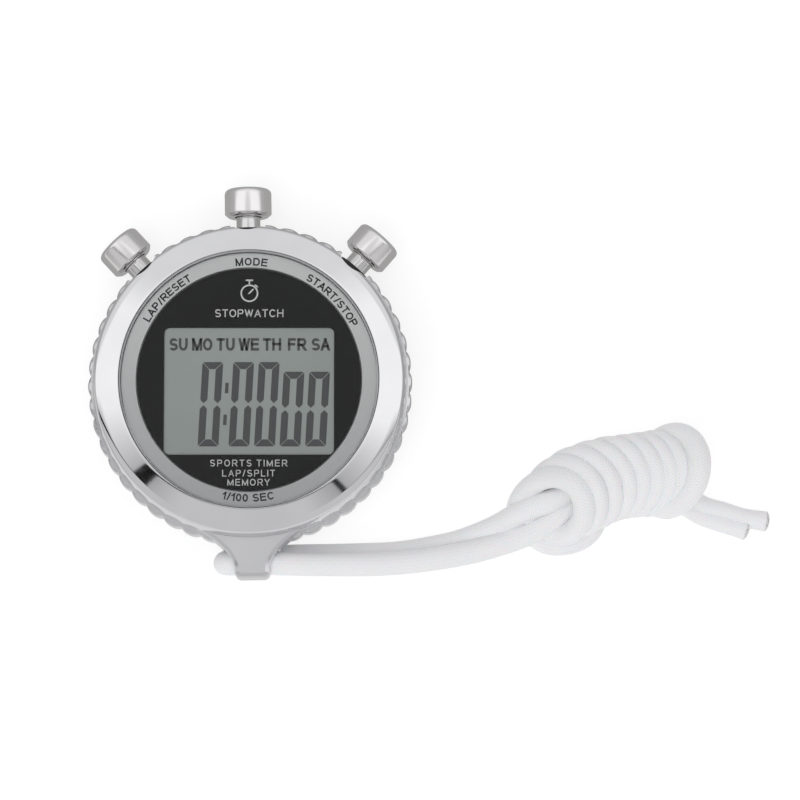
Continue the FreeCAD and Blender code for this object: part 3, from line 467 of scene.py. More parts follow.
def prism(name, outline, low, high, low_edge=0.0, high_edge=0.0, steps=3, matrix=None):
    """Raise an anticlockwise outline from low to high, with rounded bottom and top edges."""
    count = len(outline)
    inward = []
    for index in range(count):
        before = (Vector(outline[index]) - Vector(outline[index - 1])).normalized()
        after = (Vector(outline[(index + 1) % count]) - Vector(outline[index])).normalized()
        normal = Vector((-(before.y + after.y), before.x + after.x)).normalized()
        inward.append(normal / max(0.3, normal.dot(Vector((-after.y, after.x)))))
    levels = wall_levels(low, high, low_edge, high_edge, steps)
    points = []
    for height, inset in levels:
        for corner, normal in zip(outline, inward):
            place = Vector(corner) + normal * inset
            points.append((place.x, place.y, height))
    faces = [tuple(reversed(range(count)))]
    for base in range(0, (len(levels) - 1) * count, count):
        for index in range(count):
            after = (index + 1) % count
            faces.append((base + index, base + after, base + count + after, base + count + index))
    faces.append(tuple(range((len(levels) - 1) * count, len(levels) * count)))
    return make_mesh(name, points, faces, matrix=matrix)


def join_meshes(name, meshes):
    """One mesh out of several."""
    points, faces = [], []
    for mesh in meshes:
        base = len(points)
        points += [tuple(vertex.co / MM) for vertex in mesh.vertices]
        faces += [tuple(base + corner for corner in polygon.vertices) for polygon in mesh.polygons]
    return make_mesh(name, points, faces)


def cut_with(piece, meshes, sharp_degrees=35.0):
    """Cut closed meshes out of a piece and find its sharp edges again."""
    for mesh in meshes:
        tool = bpy.data.objects.new("tool", mesh)
        bpy.context.scene.collection.objects.link(tool)
        modifier = piece.modifiers.new("cut", "BOOLEAN")
        modifier.operation = "DIFFERENCE"
        modifier.solver = "EXACT"
        modifier.object = tool
        bpy.context.view_layer.update()
        graph = bpy.context.evaluated_depsgraph_get()
        cut = bpy.data.meshes.new_from_object(piece.evaluated_get(graph))
        piece.modifiers.clear()
        piece.data = cut
        bpy.data.objects.remove(tool)
    piece.data.polygons.foreach_set("use_smooth", [True] * len(piece.data.polygons))
    piece.data.set_sharp_from_angle(angle=math.radians(sharp_degrees))


def pusher_matrix(angle):
    """Local Z along a pusher's axis; the angle is in degrees, clockwise from 12 o'clock."""
    return (Matrix.Translation((0, 0, PUSHER_HEIGHT)) @ Matrix.Rotation(math.radians(-angle), 4, "Z")
            @ Matrix.Rotation(math.radians(-90), 4, "X"))


# ---------------------------------------------------------------- case and bezel

SCALLOP_COUNT = 48
SCALLOP_DEPTH = 0.55
SCALLOP_TIP = CASE_HIGH.x
SCALLOP_FOOT = 30.35
PAD_HALF_ANGLE = 7.5
RECESS_FLOOR = 29.6
RECESS_RADIUS = 4.2
RECESS_RISE = 0.4


def grip_depth(angle):
    """How far the grip stands back from its tips; beside each pusher it is a smooth pad."""
    place = (angle / TURN * SCALLOP_COUNT + 0.5) % 1.0 - 0.5
    depth = SCALLOP_DEPTH * (2 * abs(place)) ** 2.2
    for pusher in PUSHERS.values():
        away = abs((math.degrees(angle) + pusher + 90) % 360 - 180)
        depth *= max(0.0, min(1.0, away - PAD_HALF_ANGLE))
    return depth


def case_ripple(angle, radius):
    """Lobes on the grip band only, fading out over its rounded edges."""
    share = max(0.0, min(1.0, (radius - SCALLOP_FOOT) / (SCALLOP_TIP - SCALLOP_FOOT)))
    return -grip_depth(angle) * share ** 0.7


def recess_tools():
    """The round pockets that the pushers stand in; they reach a little way into the bezel."""
    outline = rounded([(0, RECESS_FLOOR), (RECESS_RADIUS, RECESS_FLOOR, 0.3), (RECESS_RADIUS, 33), (0, 33)])
    rise = Matrix.Translation((0, 0, RECESS_RISE))
    return [lathe("recess", outline, 64, matrix=rise @ pusher_matrix(angle)) for angle in PUSHERS.values()]


def notch_tools():
    """The upright hollows that let each pusher's neck stand clear of the bezel."""
    radius, depth = 6.0, 28.75
    outline = [(0, SPLIT - 1), (radius, SPLIT - 1), (radius, 18), (0, 18)]
    tools = []
    for angle in PUSHERS.values():
        turn = Matrix.Rotation(math.radians(-angle), 4, "Z")
        tools.append(lathe("notch", outline, 96, matrix=turn @ Matrix.Translation((0, depth + radius, 0))))
    return tools


def make_case(plating):
    bore, foot, tip = 27.6, CASE_LOW.z, SCALLOP_TIP
    outline = rounded([
        (bore, foot, 0.1),
        (28.95, foot, 0.35),
        (30.05, 3.9, 0.4),
        (SCALLOP_FOOT, 4.35, 0.05),
        (tip, 4.65, 0.45),
        (tip, 8.35, 0.45),
        (SCALLOP_FOOT, 8.6, 0.1),
        (FLANGE, 8.72, 0.05),
        (FLANGE, SPLIT, 0.06),
        (28.4, SPLIT),
        (28.4, 10.5),
        (bore, 10.5),
        (bore, 2.6),
        (26.6, 2.6),
        (26.6, 1.5),
        (bore, 1.5),
    ], 4)
    mesh = lathe("case_shell", outline, SCALLOP_COUNT * 14, case_ripple)
    case = add_piece("case_shell", mesh, [plating], "case")
    bore_outline = [(0, 26), (2.32, 26), (2.32, 30), (0, 30)]
    bores = [lathe("bore", bore_outline, 48, matrix=pusher_matrix(angle)) for angle in PUSHERS.values()]
    cut_with(case, recess_tools() + bores)
    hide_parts("case_body")


def lug_outline():
    """The lug from above: it flares out to the case and has a rounded tip."""
    side, tip, corner, root, flare, steps = 3.3, -37.4, 1.15, 9.6, 0.105, 11
    right = []
    for step in range(steps + 1):
        distance = (root - corner) * step / steps
        right.append((side + flare * distance ** 2, tip + corner + distance))
    left = [(-x, y) for x, y in reversed(right)]
    end = rounded([(-side, 0), (-side, tip, corner), (side, tip, corner), (side, 0)], 6)
    return right[1:] + left[:-1] + end[1:-1]


def make_lug(plating):
    """The cord lug with its bevelled rim and the eye for the cord."""
    bottom, top, bevel = 4.8, 11.6, 0.85
    mesh = prism("case_lug", lug_outline(), bottom, top, 0.5, bevel, 2)
    lug = add_piece("case_lug", mesh, [plating], "case")
    along = Matrix.Translation(EYE) @ Matrix.Rotation(QUARTER, 4, "Y")
    eye = lathe("eye", [(0, -9), (2.9, -9), (2.45, -2.6), (2.45, 2.6), (2.9, 9), (0, 9)], 48, matrix=along)
    skirt_foot = Vector((BEZEL_HIGH.x, SPLIT))
    skirt = skirt_foot.lerp(SKIRT_TOP, (13 - SPLIT) / (SKIRT_TOP.y - SPLIT))
    room = lathe("room", [(0, SPLIT), tuple(skirt_foot), tuple(skirt), (0, skirt.y)], 192)
    cut_with(lug, [eye, room], 20.0)
    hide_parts("case_body")


def make_bezel(polished):
    """The polished bezel: a tall skirt, a soft shoulder, a flat cone and a crisp inner edge."""
    foot, ledge, cone_steps = SPLIT + 0.06, 14.2, 12
    shoulder = Vector((28.7, 15.78))
    inner = Vector((24.95, BEZEL_HIGH.z - 0.03))
    cone = [tuple(shoulder.lerp(inner, step / cone_steps)) for step in range(1, cone_steps)]
    outline = rounded([
        (28.5, foot),
        (BEZEL_HIGH.x, foot, 0.12),
        (*SKIRT_TOP, 0.75),
        *cone,
        (24.8, BEZEL_HIGH.z, 0.1),
        (24.62, BEZEL_HIGH.z - 0.25, 0.1),
        (24.62, ledge),
        (22.6, ledge),
        (22.6, 12.9),
        (26.2, 12.9),
        (26.2, 11.0),
        (28.5, 11.0),
    ], 6)
    bezel = add_piece("bezel_shell", lathe("bezel_shell", outline, 384), [polished], "case")
    cut_with(bezel, recess_tools() + notch_tools())
    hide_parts("front_bezel")


# ---------------------------------------------------------------- lettering

LETTER_LIFT = 0.005
LETTER_THICK = 0.02
MITRE_LIMIT = 1.6


def bowl(start, sweep, centre=(0.5, 0.5), reach=(0.5, 0.5), steps=24):
    """Points on an ellipse; the angles are in degrees, anticlockwise from the right."""
    path = []
    for step in range(steps + 1):
        angle = math.radians(start + sweep * step / steps)
        path.append((centre[0] + reach[0] * math.cos(angle), centre[1] + reach[1] * math.sin(angle)))
    return path


def bent(*corners):
    """An open or closed path with rounded corners."""
    return rounded(list(corners), 6)


# Each letter has a width in cap heights and its strokes in a unit square. A stroke that ends where it
# starts is closed.
STEM_LEFT = [(0, 0), (0, 1)]
STEM_RIGHT = [(1, 0), (1, 1)]
LOOP = bent((0, 1), (1, 1, 0.27), (1, 0.46, 0.27), (0, 0.46))
GLYPHS = {
    "A": (0.93, [[(0, 0), (0.5, 1)], [(0.5, 1), (1, 0)], [(0.16, 0.31), (0.84, 0.31)]]),
    "C": (0.95, [bowl(38, 284)]),
    "D": (0.92, [bent((0, 0), (1, 0, 0.46), (1, 1, 0.46), (0, 1), (0, 0))]),
    "E": (0.82, [[(1, 1), (0, 1), (0, 0), (1, 0)], [(0, 0.53), (0.93, 0.53)]]),
    "F": (0.76, [[(1, 1), (0, 1), (0, 0)], [(0, 0.52), (0.9, 0.52)]]),
    "H": (0.92, [STEM_LEFT, STEM_RIGHT, [(0, 0.53), (1, 0.53)]]),
    "I": (0.0, [STEM_LEFT]),
    "L": (0.72, [[(0, 1), (0, 0), (1, 0)]]),
    "M": (1.08, [STEM_LEFT, STEM_RIGHT, [(0, 1), (0.5, 0)], [(0.5, 0), (1, 1)]]),
    "O": (1.0, [bowl(0, 360, steps=32)]),
    "P": (0.84, [STEM_LEFT, LOOP]),
    "R": (0.90, [STEM_LEFT, LOOP, [(0.5, 0.46), (1, 0)]]),
    "S": (0.84, [bowl(25, 245, (0.5, 0.74), (0.47, 0.26))[:-1] + bowl(90, -245, (0.5, 0.25), (0.5, 0.25))]),
    "T": (0.82, [[(0, 1), (1, 1)], [(0.5, 0), (0.5, 1)]]),
    "U": (0.90, [bent((0, 1), (0, 0, 0.45), (1, 0, 0.45), (1, 1))]),
    "W": (1.28, [[(0, 1), (0.25, 0)], [(0.25, 0), (0.5, 1)], [(0.5, 1), (0.75, 0)], [(0.75, 0), (1, 1)]]),
    "Y": (0.88, [[(0, 1), (0.5, 0.42)], [(1, 1), (0.5, 0.42)], [(0.5, 0), (0.5, 0.42)]]),
    "/": (0.36, [[(0, 0), (1, 1)]]),
    "0": (0.70, [bowl(0, 360, steps=32)]),
    "1": (0.30, [[(1, 0), (1, 1)], [(0, 0.72), (1, 1)]]),
}
WORD_SPACE = 0.45


def is_square(run):
    """Whether a unit direction runs along or across the line of text."""
    return min(abs(run.x), abs(run.y)) < 0.1


def across(run):
    """Across a stroke's end: level for a sloping stroke, so that it is cut along the line of text."""
    if is_square(run):
        return Vector((-run.y, run.x))
    return Vector((-1 / run.y, 0))


def lengthened(path, half):
    """The path with its ends moved out by half a stroke; the end of a bowl stays."""
    ends = []
    for end, beside in ((path[0], path[1]), (path[-1], path[-2])):
        run = (end - beside).normalized()
        if is_square(run):
            end = end + run * half
        elif len(path) == 2:
            end = end + run * (half / abs(run.y))
        ends.append(end)
    return [ends[0], *path[1:-1], ends[1]]


def stroke_mesh(path, half, low, high):
    """A flat bar along a path, with mitred corners."""
    path = [Vector(point) for point in path]
    path = path[:1] + [point for before, point in zip(path, path[1:]) if (point - before).length > 1e-4]
    closed = (path[0] - path[-1]).length < 1e-4
    path = path[:-1] if closed else lengthened(path, half)
    count = len(path)
    points, faces = [], []
    for index, point in enumerate(path):
        before = (point - path[index - 1]).normalized()
        after = (path[(index + 1) % count] - point).normalized()
        if closed or 0 < index < count - 1:
            normal = Vector((-before.y - after.y, before.x + after.x)).normalized()
            normal /= max(1 / MITRE_LIMIT, normal.dot(Vector((-after.y, after.x))))
        else:
            normal = across(before if index else after)
        left, right = point + normal * half, point - normal * half
        points += [(*left, low), (*right, low), (*right, high), (*left, high)]
    for row in range(count if closed else count - 1):
        here, there = 4 * row, 4 * ((row + 1) % count)
        for corner in range(4):
            after = (corner + 1) % 4
            faces.append((here + corner, there + corner, there + after, here + after))
    if not closed:
        faces += [(0, 1, 2, 3), tuple(4 * count - 1 - corner for corner in range(4))]
    return make_mesh("stroke", points, faces)


def placed(mesh, x, y, turn=0.0):
    """Move a mesh to a place given in millimetres, turned anticlockwise in degrees."""
    mesh.transform(Matrix.Translation(Vector((x, y, 0)) * MM) @ Matrix.Rotation(math.radians(turn), 4, "Z"))
    return mesh


def on_line(x, y):
    """Places along a level line, by the distance from its middle."""
    return lambda travel: (x + travel, y, 0.0)


def on_arc(radius, middle, top=True):
    """Places along an arc, by the distance from its middle; angles run clockwise from 12 o'clock."""
    def place(travel):
        lean = math.degrees(travel / radius)
        angle = middle + (lean if top else -lean)
        reach = Vector((math.sin(math.radians(angle)), math.cos(math.radians(angle)))) * radius
        return reach.x, reach.y, -angle if top else 180 - angle
    return place


def set_text(text, cap, stroke, width, place, surface, squeeze=0.72):
    """Letters spread evenly over a width; place(travel) gives each letter's middle and turn."""
    low = surface + LETTER_LIFT - LETTER_THICK / 2
    sizes = [stroke + (GLYPHS[letter][0] * cap * squeeze if letter != " " else 0) for letter in text]
    spare = width - sum(size for size, letter in zip(sizes, text) if letter != " ")
    gaps = len(text.replace(" ", "")) - 1
    words = text.count(" ")
    gap = (spare - words * WORD_SPACE * cap) / gaps
    meshes, travel = [], -width / 2
    for letter, size in zip(text, sizes):
        if letter == " ":
            travel += WORD_SPACE * cap
            continue
        wide, tall = size - stroke, cap - stroke
        for path in GLYPHS[letter][1]:
            scaled = [((x - 0.5) * wide, (y - 0.5) * tall) for x, y in path]
            mesh = stroke_mesh(scaled, stroke / 2, low, low + LETTER_THICK)
            meshes.append(placed(mesh, *place(travel + size / 2)))
        travel += size + gap
    return meshes


# ---------------------------------------------------------------- face

FACE_TURN = math.radians(-1.0)
WINDOW_MIDDLE = Vector((0, -2.2))
WINDOW_HALF = Vector((16.15, 12.15))


def turned(mesh):
    """Turn a mesh with the dial, which sits a touch clockwise of the case."""
    mesh.transform(Matrix.Rotation(FACE_TURN, 4, "Z"))
    return mesh


def make_lens(glass):
    bottom, top, rim = LENS_LOW.z + 0.03, LENS_HIGH.z, LENS_HIGH.x
    outline = rounded([
        (0, bottom), (rim, bottom), (rim, top - 0.4, 0.08), (rim - 0.4, top, 0.15), (0, top)], 4)
    lens = add_piece("lens_clear", lathe("lens_clear", outline, 256), [glass], "case")
    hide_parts("lens")


def make_legend_ring(metal):
    inner, outer, chamfer = 21.3, RING_HIGH.x, 0.22
    outline = [
        (inner, RING_LOW.z), (outer, RING_LOW.z), (outer, RING_HIGH.z), (inner + chamfer, RING_HIGH.z),
        (inner, RING_HIGH.z - chamfer)]
    ring = add_piece("legend_band", lathe("legend_band", outline, 256), [metal], "case")
    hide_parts("legend_ring")


def make_face(black):
    """The black face: a disc with a round-cornered window."""
    (x, y), corner = WINDOW_HALF, 1.1
    window = [(px + WINDOW_MIDDLE.x, py + WINDOW_MIDDLE.y) for px, py in rounded([
        (-x, -y, corner), (x, -y, corner), (x, y, corner), (-x, y, corner)], 8)]
    disc = [(0, PANEL_LOW.z), (PANEL_HIGH.x, PANEL_LOW.z), (PANEL_HIGH.x, PANEL_HIGH.z), (0, PANEL_HIGH.z)]
    face = add_piece("face_plate", lathe("face_plate", disc, 256), [black], "case")
    cut_with(face, [turned(prism("window", window, PANEL_LOW.z - 1, PANEL_HIGH.z + 1))])
    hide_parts("face_panel")


def make_ring_legends(ink):
    cap, stroke, radius, top = 1.5, 0.29, 22.62, RING_HIGH.z
    meshes = set_text("MODE", cap, stroke, 6.1, on_arc(radius, 1.0), top)
    meshes += set_text("LAP/RESET", cap, stroke, 11.9, on_arc(radius, -45.0), top)
    meshes += set_text("START/STOP", cap, stroke, 13.2, on_arc(radius, 46.0), top)
    meshes += set_text("1/100 SEC", cap, stroke, 9.8, on_arc(radius, 180.0, top=False), top)
    legends = turned(join_meshes("ring_legends", meshes))
    add_piece("ring_legends", legends, [ink], "case")


def pictogram(middle, surface):
    """A plain drawing of a stopwatch: a ring, a crown and one hand."""
    low, half = surface + LETTER_LIFT - LETTER_THICK / 2, 0.14
    paths = [
        bowl(0, 360, (0, 0), (1.55, 1.55), 40),
        [(0, 1.9), (0, 2.3)],
        [(-0.55, 2.5), (0.55, 2.5)],
        [(0, 0), (0.62, 0.68)],
        [(1.2, 1.5), (1.42, 1.28)],
    ]
    return [placed(stroke_mesh(path, half, low, low + LETTER_THICK), 0, middle) for path in paths]


def make_face_legends(ink):
    surface = PANEL_HIGH.z
    meshes = pictogram(16.6, surface)
    lines = (("STOPWATCH", 12.75, 1.5, 0.2, 13.0), ("SPORTS TIMER", -15.94, 1.27, 0.16, 14.6),
             ("LAP/SPLIT", -17.87, 1.27, 0.16, 10.0), ("MEMORY", -19.6, 1.27, 0.16, 8.0))
    for text, y, cap, stroke, width in lines:
        meshes += set_text(text, cap, stroke, width, on_line(0, y), surface)
    legends = turned(join_meshes("face_legends", meshes))
    add_piece("face_legends", legends, [ink], "case")


SEGMENT = 1.35
SEGMENT_GAP = 0.1
SEGMENT_BEVEL = 0.35
DIGIT_WIDTH = 3.95
DIGIT_BASE = -12.74
SLANT = math.tan(math.radians(3.0))


def zero_segments(width, height):
    """The six lit segments of a seven-segment zero, as outlines; their joints are mitred."""
    thick, bevel = SEGMENT, SEGMENT_BEVEL
    slip = SEGMENT_GAP * math.sqrt(0.5)
    outer, inner, middle = (bevel + slip) / 2, thick + slip, height / 2
    tip = middle + 0.2
    top = [(outer, height - (bevel - slip) / 2), (inner, height - thick), (width - inner, height - thick),
           (width - outer, height - (bevel - slip) / 2), (width - bevel, height), (bevel, height)]
    left = [(0, height - bevel), (0, tip + thick / 2), (thick / 2, tip), (thick, tip + thick / 2),
            (thick, height - inner), ((bevel - slip) / 2, height - outer)]
    right = [(width - x, y) for x, y in reversed(left)]
    upper = [top, left, right]
    return upper + [[(x, height - y) for x, y in reversed(shape)] for shape in upper]


def slanted(outline, x, y):
    """Move a figure's outline to its place and lean it like italics."""
    return [(x + px + (y + py - DIGIT_BASE) * SLANT, y + py) for px, py in outline]


def make_display(ground, ink):
    """The display glass with its figures and the weekday row."""
    corner = 0.3
    glass = prism("display_glass", rounded([
        (GLASS_LOW.x, GLASS_LOW.y, corner), (GLASS_HIGH.x, GLASS_LOW.y, corner),
        (GLASS_HIGH.x, GLASS_HIGH.y, corner), (GLASS_LOW.x, GLASS_HIGH.y, corner)]),
        GLASS_LOW.z, GLASS_HIGH.z, 0.1, 0.1)
    display = add_piece("display_glass", turned(glass), [ground], "case")
    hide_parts("lcd_panel")

    low = GLASS_HIGH.z + LETTER_LIFT - LETTER_THICK / 2
    high = low + LETTER_THICK
    big, small = 16.15, 14.3
    shapes = []
    for x, height in ((-9.71, big), (-3.85, big), (1.0, big), (5.82, small), (10.68, small)):
        shapes += [slanted(shape, x, DIGIT_BASE) for shape in zero_segments(DIGIT_WIDTH, height)]
    colon_bar = [(0, 0), (0.67, 0), (0.67, 2.0), (0, 2.0)]
    shapes += [slanted(colon_bar, -5.14, y) for y in (-2.57, -8.66)]
    meshes = [prism("segment", shape, low, high) for shape in shapes]
    middles = (-13.43, -8.93, -4.48, -0.08, 4.35, 9.1, 13.6)
    for day, middle in zip(("SU", "MO", "TU", "WE", "TH", "FR", "SA"), middles):
        width = 3.9 if day in ("MO", "WE") else 3.5
        meshes += set_text(day, 2.4, 0.5, width, on_line(middle, 6.8), GLASS_HIGH.z, squeeze=0.56)
    figures = turned(join_meshes("display_figures", meshes))
    add_piece("display_figures", figures, [ink], "case")


# ---------------------------------------------------------------- pushers


BLADE_STEPS = 12


def make_pusher(name, angle, nickel, polished, rubber):
    """The knob with its chamfered foot and domed end, its neck, and a dark ring round the neck as painted shade
    in its pocket.
    """
    matrix = pusher_matrix(angle)
    start, end, radius = CAP_LOW.y, CAP_HIGH.y, CAP_HIGH.x
    socket, stem_end = (2.6, 35.9), (1.22, 36.9)
    cap = rounded([
        (socket[0], start, 0.1), (radius - 0.7, start, 0.15), (radius, start + 0.6, 0.3),
        (radius, end - 0.3, 1.0),
        (0, end), (0, stem_end[1]), stem_end, (stem_end[0], socket[1]), socket], 6)
    knob = add_piece(f"{name}_knob", lathe("knob", cap, 128, matrix=matrix), [nickel],
                     f"{name}_pusher")
    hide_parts(f"{name}_cap")
    tube = rounded([
        (1.3, 25.95), (2.3, 25.95, 0.1), (2.3, 33.6, 0.12), (1.95, 33.6, 0.08), (1.95, 29.6), (1.3, 29.6)], 4)
    neck = add_piece(f"{name}_neck", lathe("neck", tube, 96, matrix=matrix), [polished], "case")
    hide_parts(f"{name}_tube")
    # painted shade: a dark rubber ring put in the pusher's pocket to give the shade there
    pocket_shade_ring = rounded([(2.32, 29.3), (3.9, 29.3, 0.15), (3.9, 29.9, 0.25), (3.2, 30.35, 0.25), (2.32, 30.35)], 4)
    add_piece(f"{name}_collar", lathe("pocket_shade_ring", pocket_shade_ring, 96, matrix=matrix), [rubber], "case")


def make_press_parts(steel):
    """The parts that give way as a pusher goes in: its return spring and its switch leaf."""
    front, thickness, half_width, top, bottom, foot = 24.0, 0.2, 1.5, 8.6, 3.6, 20.0
    heights = [bottom + (top - bottom) * step / BLADE_STEPS for step in range(BLADE_STEPS + 1)]
    blade = [(front, height) for height in heights] + [(foot, top), (foot, top - thickness)]
    blade += [(front - thickness, height) for height in reversed(heights[:-1])]
    upright = Matrix(((0, 0, 1, 0), (1, 0, 0, 0), (0, 1, 0, 0), (0, 0, 0, 1)))
    for name, angle in PUSHERS.items():
        turn = Matrix.Rotation(math.radians(-angle), 4, "Z")
        leaf_mesh = prism("leaf", blade, -half_width, half_width, matrix=turn @ upright)
        leaf = add_piece(f"{name}_leaf", leaf_mesh, [steel], None)
        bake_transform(leaf)
        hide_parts(f"{name}_switch_leaf")

        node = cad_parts[f"{name}_spring"]
        coil = node.data.copy()
        coil.transform(node.matrix_world)
        coil.materials.clear()
        spring = add_piece(f"{name}_coil", coil, [steel], None)
        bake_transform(spring)
        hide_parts(f"{name}_spring")


# ---------------------------------------------------------------- cord

BRAID_COLUMNS = 20
BRAID_RISE = 0.5
BRAID_SLANT = 0.9
BRAID_DEPTH = 0.03
SAMPLES_PER_COLUMN = 4
CORD_SPACING = 0.25


def smooth_path(points, spacing=CORD_SPACING):
    """A Catmull-Rom curve through the points, sampled at an even spacing."""
    points = [Vector(point) for point in points]
    ends = [points[0] * 2 - points[1]] + points + [points[-1] * 2 - points[-2]]
    dense, steps = [], 40
    for before, start, stop, after in zip(ends, ends[1:], ends[2:], ends[3:]):
        for step in range(steps):
            t = step / steps
            dense.append(0.5 * (2 * start + (stop - before) * t
                                + (2 * before - 5 * start + 4 * stop - after) * t * t
                                + (3 * start - before - 3 * stop + after) * t ** 3))
    dense.append(points[-1])
    return even_path(dense, spacing)


def even_path(dense, spacing=CORD_SPACING):
    """The same path with its points an even distance apart."""
    lengths = [0.0]
    for first, second in zip(dense, dense[1:]):
        lengths.append(lengths[-1] + (second - first).length)
    count = max(2, round(lengths[-1] / spacing))
    path, index = [], 0
    for step in range(count + 1):
        target = lengths[-1] * step / count
        while index < len(lengths) - 2 and lengths[index + 1] < target:
            index += 1
        share = (target - lengths[index]) / (lengths[index + 1] - lengths[index])
        path.append(dense[index].lerp(dense[index + 1], share))
    return path


def braid_crown(around, along):
    """The yarn's height between 0 and 1: slanting yarns in columns, as a herringbone."""
    slant = abs(2 * (around / 2 % 1.0) - 1) * BRAID_SLANT
    return abs(math.sin(math.pi * (along + slant))) * abs(math.sin(math.pi * around)) ** 0.35


def end_cap(points, rim, ahead):
    """Close a cord's end with a rounded, slightly uneven cap; ahead points out of the cord."""
    around = len(rim)
    middle = sum((points[corner] for corner in rim), Vector()) / around
    faces, old = [], rim
    for share, lift in ((0.75, 0.35), (0.4, 0.6)):
        new = list(range(len(points), len(points) + around))
        for step, corner in enumerate(rim):
            jag = 0.1 * math.sin(TURN * 5 * step / around + rim[0]) * share
            points.append(middle.lerp(points[corner], share) + ahead * (lift + jag))
        for step in range(around):
            after = (step + 1) % around
            faces.append((old[step], old[after], new[after], new[step]))
        old = new
    return faces + [tuple(old)]


def cord_mesh(name, path, size=None, outward=None):
    """A braided cord along a path.

    size(share) gives the half thickness along and across the side vector; outward(index) gives that
    side vector, or else it is carried along the path without twist. Material 1 is the cut ends.
    """
    count, around = len(path), BRAID_COLUMNS * SAMPLES_PER_COLUMN
    points, travels = [], []
    side, travel = None, 0.0
    for index, middle in enumerate(path):
        ahead = (path[min(index + 1, count - 1)] - path[max(index - 1, 0)]).normalized()
        if outward:
            side = outward(index)
        elif side is None:
            side = ahead.orthogonal()
        side = (side - ahead * side.dot(ahead)).normalized()
        other = ahead.cross(side)
        travel += (middle - path[max(index - 1, 0)]).length / BRAID_RISE
        travels.append(travel)
        wide, deep = size(index / (count - 1)) if size else (CORD, CORD)
        for step in range(around):
            angle = TURN * step / around
            relief = 1 - BRAID_DEPTH / CORD * (1 - braid_crown(step / SAMPLES_PER_COLUMN, travel))
            points.append(middle + side * (math.cos(angle) * wide * relief)
                          + other * (math.sin(angle) * deep * relief))
    faces, uvs = [], []
    for index in range(count - 1):
        low, high = index * around, (index + 1) * around
        for step in range(around):
            after = (step + 1) % around
            faces.append((low + step, low + after, high + after, high + step))
            left, right = step / SAMPLES_PER_COLUMN, (step + 1) / SAMPLES_PER_COLUMN
            uvs += [(left, travels[index]), (right, travels[index]),
                    (right, travels[index + 1]), (left, travels[index + 1])]
    sides = len(faces)
    last = (count - 1) * around
    faces += end_cap(points, list(reversed(range(around))), (path[0] - path[1]).normalized())
    faces += end_cap(points, list(range(last, last + around)), (path[-1] - path[-2]).normalized())
    mesh = make_mesh(name, points, faces, 60.0)
    layer = mesh.uv_layers.new(name="braid")
    for loop, uv in zip(layer.data, uvs):
        loop.uv = uv
    for polygon in mesh.polygons[sides:]:
        polygon.material_index = 1
    return mesh


def make_loop_cord(fabric):
    """The strands between the wrap and the lug, in one run through the lug's eye."""
    rear = [(66.0, -19.5, 8.5), (60.5, -22.0, 8.2), (56.5, -23.6, 7.6), (53.7, -24.4, 6.8), (50.0, -26.0, 5.4),
            (46.0, -28.0, 3.6), (39.6, -30.3, 2.5), (33.2, -31.6, 2.3), (26.8, -32.4, 2.3), (17.2, -32.6, 2.3),
            (8, -32.6, 2.3), (3, -32.8, 2.3), (-1.5, -33.1, 2.3)]
    bend = [(-4.6, -33.5, 3.4), (-5.3, -34.0, 5.2), (-4.6, -34.3, 7.0)]
    front = [(-2.6, -34.4, 8.05), (0, -34.35, 8.1), (4, -34.5, 8.1), (10.9, -34.8, 7.9), (17.3, -34.9, 7.4),
             (23.6, -34.9, 6.9), (30.0, -34.5, 6.4), (36.3, -33.7, 5.8), (42.7, -32.5, 5.1), (49.0, -30.7, 4.6),
             (53.6, -29.0, 4.8), (56.8, -27.3, 5.4), (60.5, -25.2, 6.4), (66.0, -22.5, 7.5)]
    path = smooth_path(rear + bend + front)
    cord = add_piece("cord_loop", cord_mesh("cord_loop", path), fabric, None)
    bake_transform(cord)
    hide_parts("lanyard_loop")


WRAP_TURNS = 8
WRAP_HEIGHT = 7.9
WRAP_REACH = 5.8
TURN_SHARE = 120
TUCKED_TURN = 0.3
TUCK_LENGTH = 10.0
RING_STEPS = 200


def along_curve(points, share):
    """The place at a share between 0 and 1 of a curve through evenly timed points."""
    place = share * (len(points) - 1)
    index = min(int(place), len(points) - 2)
    t = place - index
    start, stop = Vector(points[index]), Vector(points[index + 1])
    before = Vector(points[index - 1]) if index else start * 2 - stop
    after = Vector(points[index + 2]) if index + 2 < len(points) else stop * 2 - start
    return 0.5 * (2 * start + (stop - before) * t + (2 * before - 5 * start + 4 * stop - after) * t * t
                  + (3 * start - before - 3 * stop + after) * t ** 3)


def ring_point(far, near, lean, height, reach, turn, width=1.0):
    """A point of one leaning turn: it runs from its far side over the top to its near side."""
    angle = TURN * turn
    middle, half = (far + near) / 2, (far - near) / 2
    place = middle + (half * math.cos(angle) + lean * math.sin(angle)) * width
    return Vector((place.x, place.y, height + reach * math.sin(angle) * width))


def tuck(share, turns):
    """How wide a turn is near a cut end: both ends curl into the middle of the hank."""
    return min(1.0, 0.3 + min(share, 1.0 - share) * turns / TUCKED_TURN)


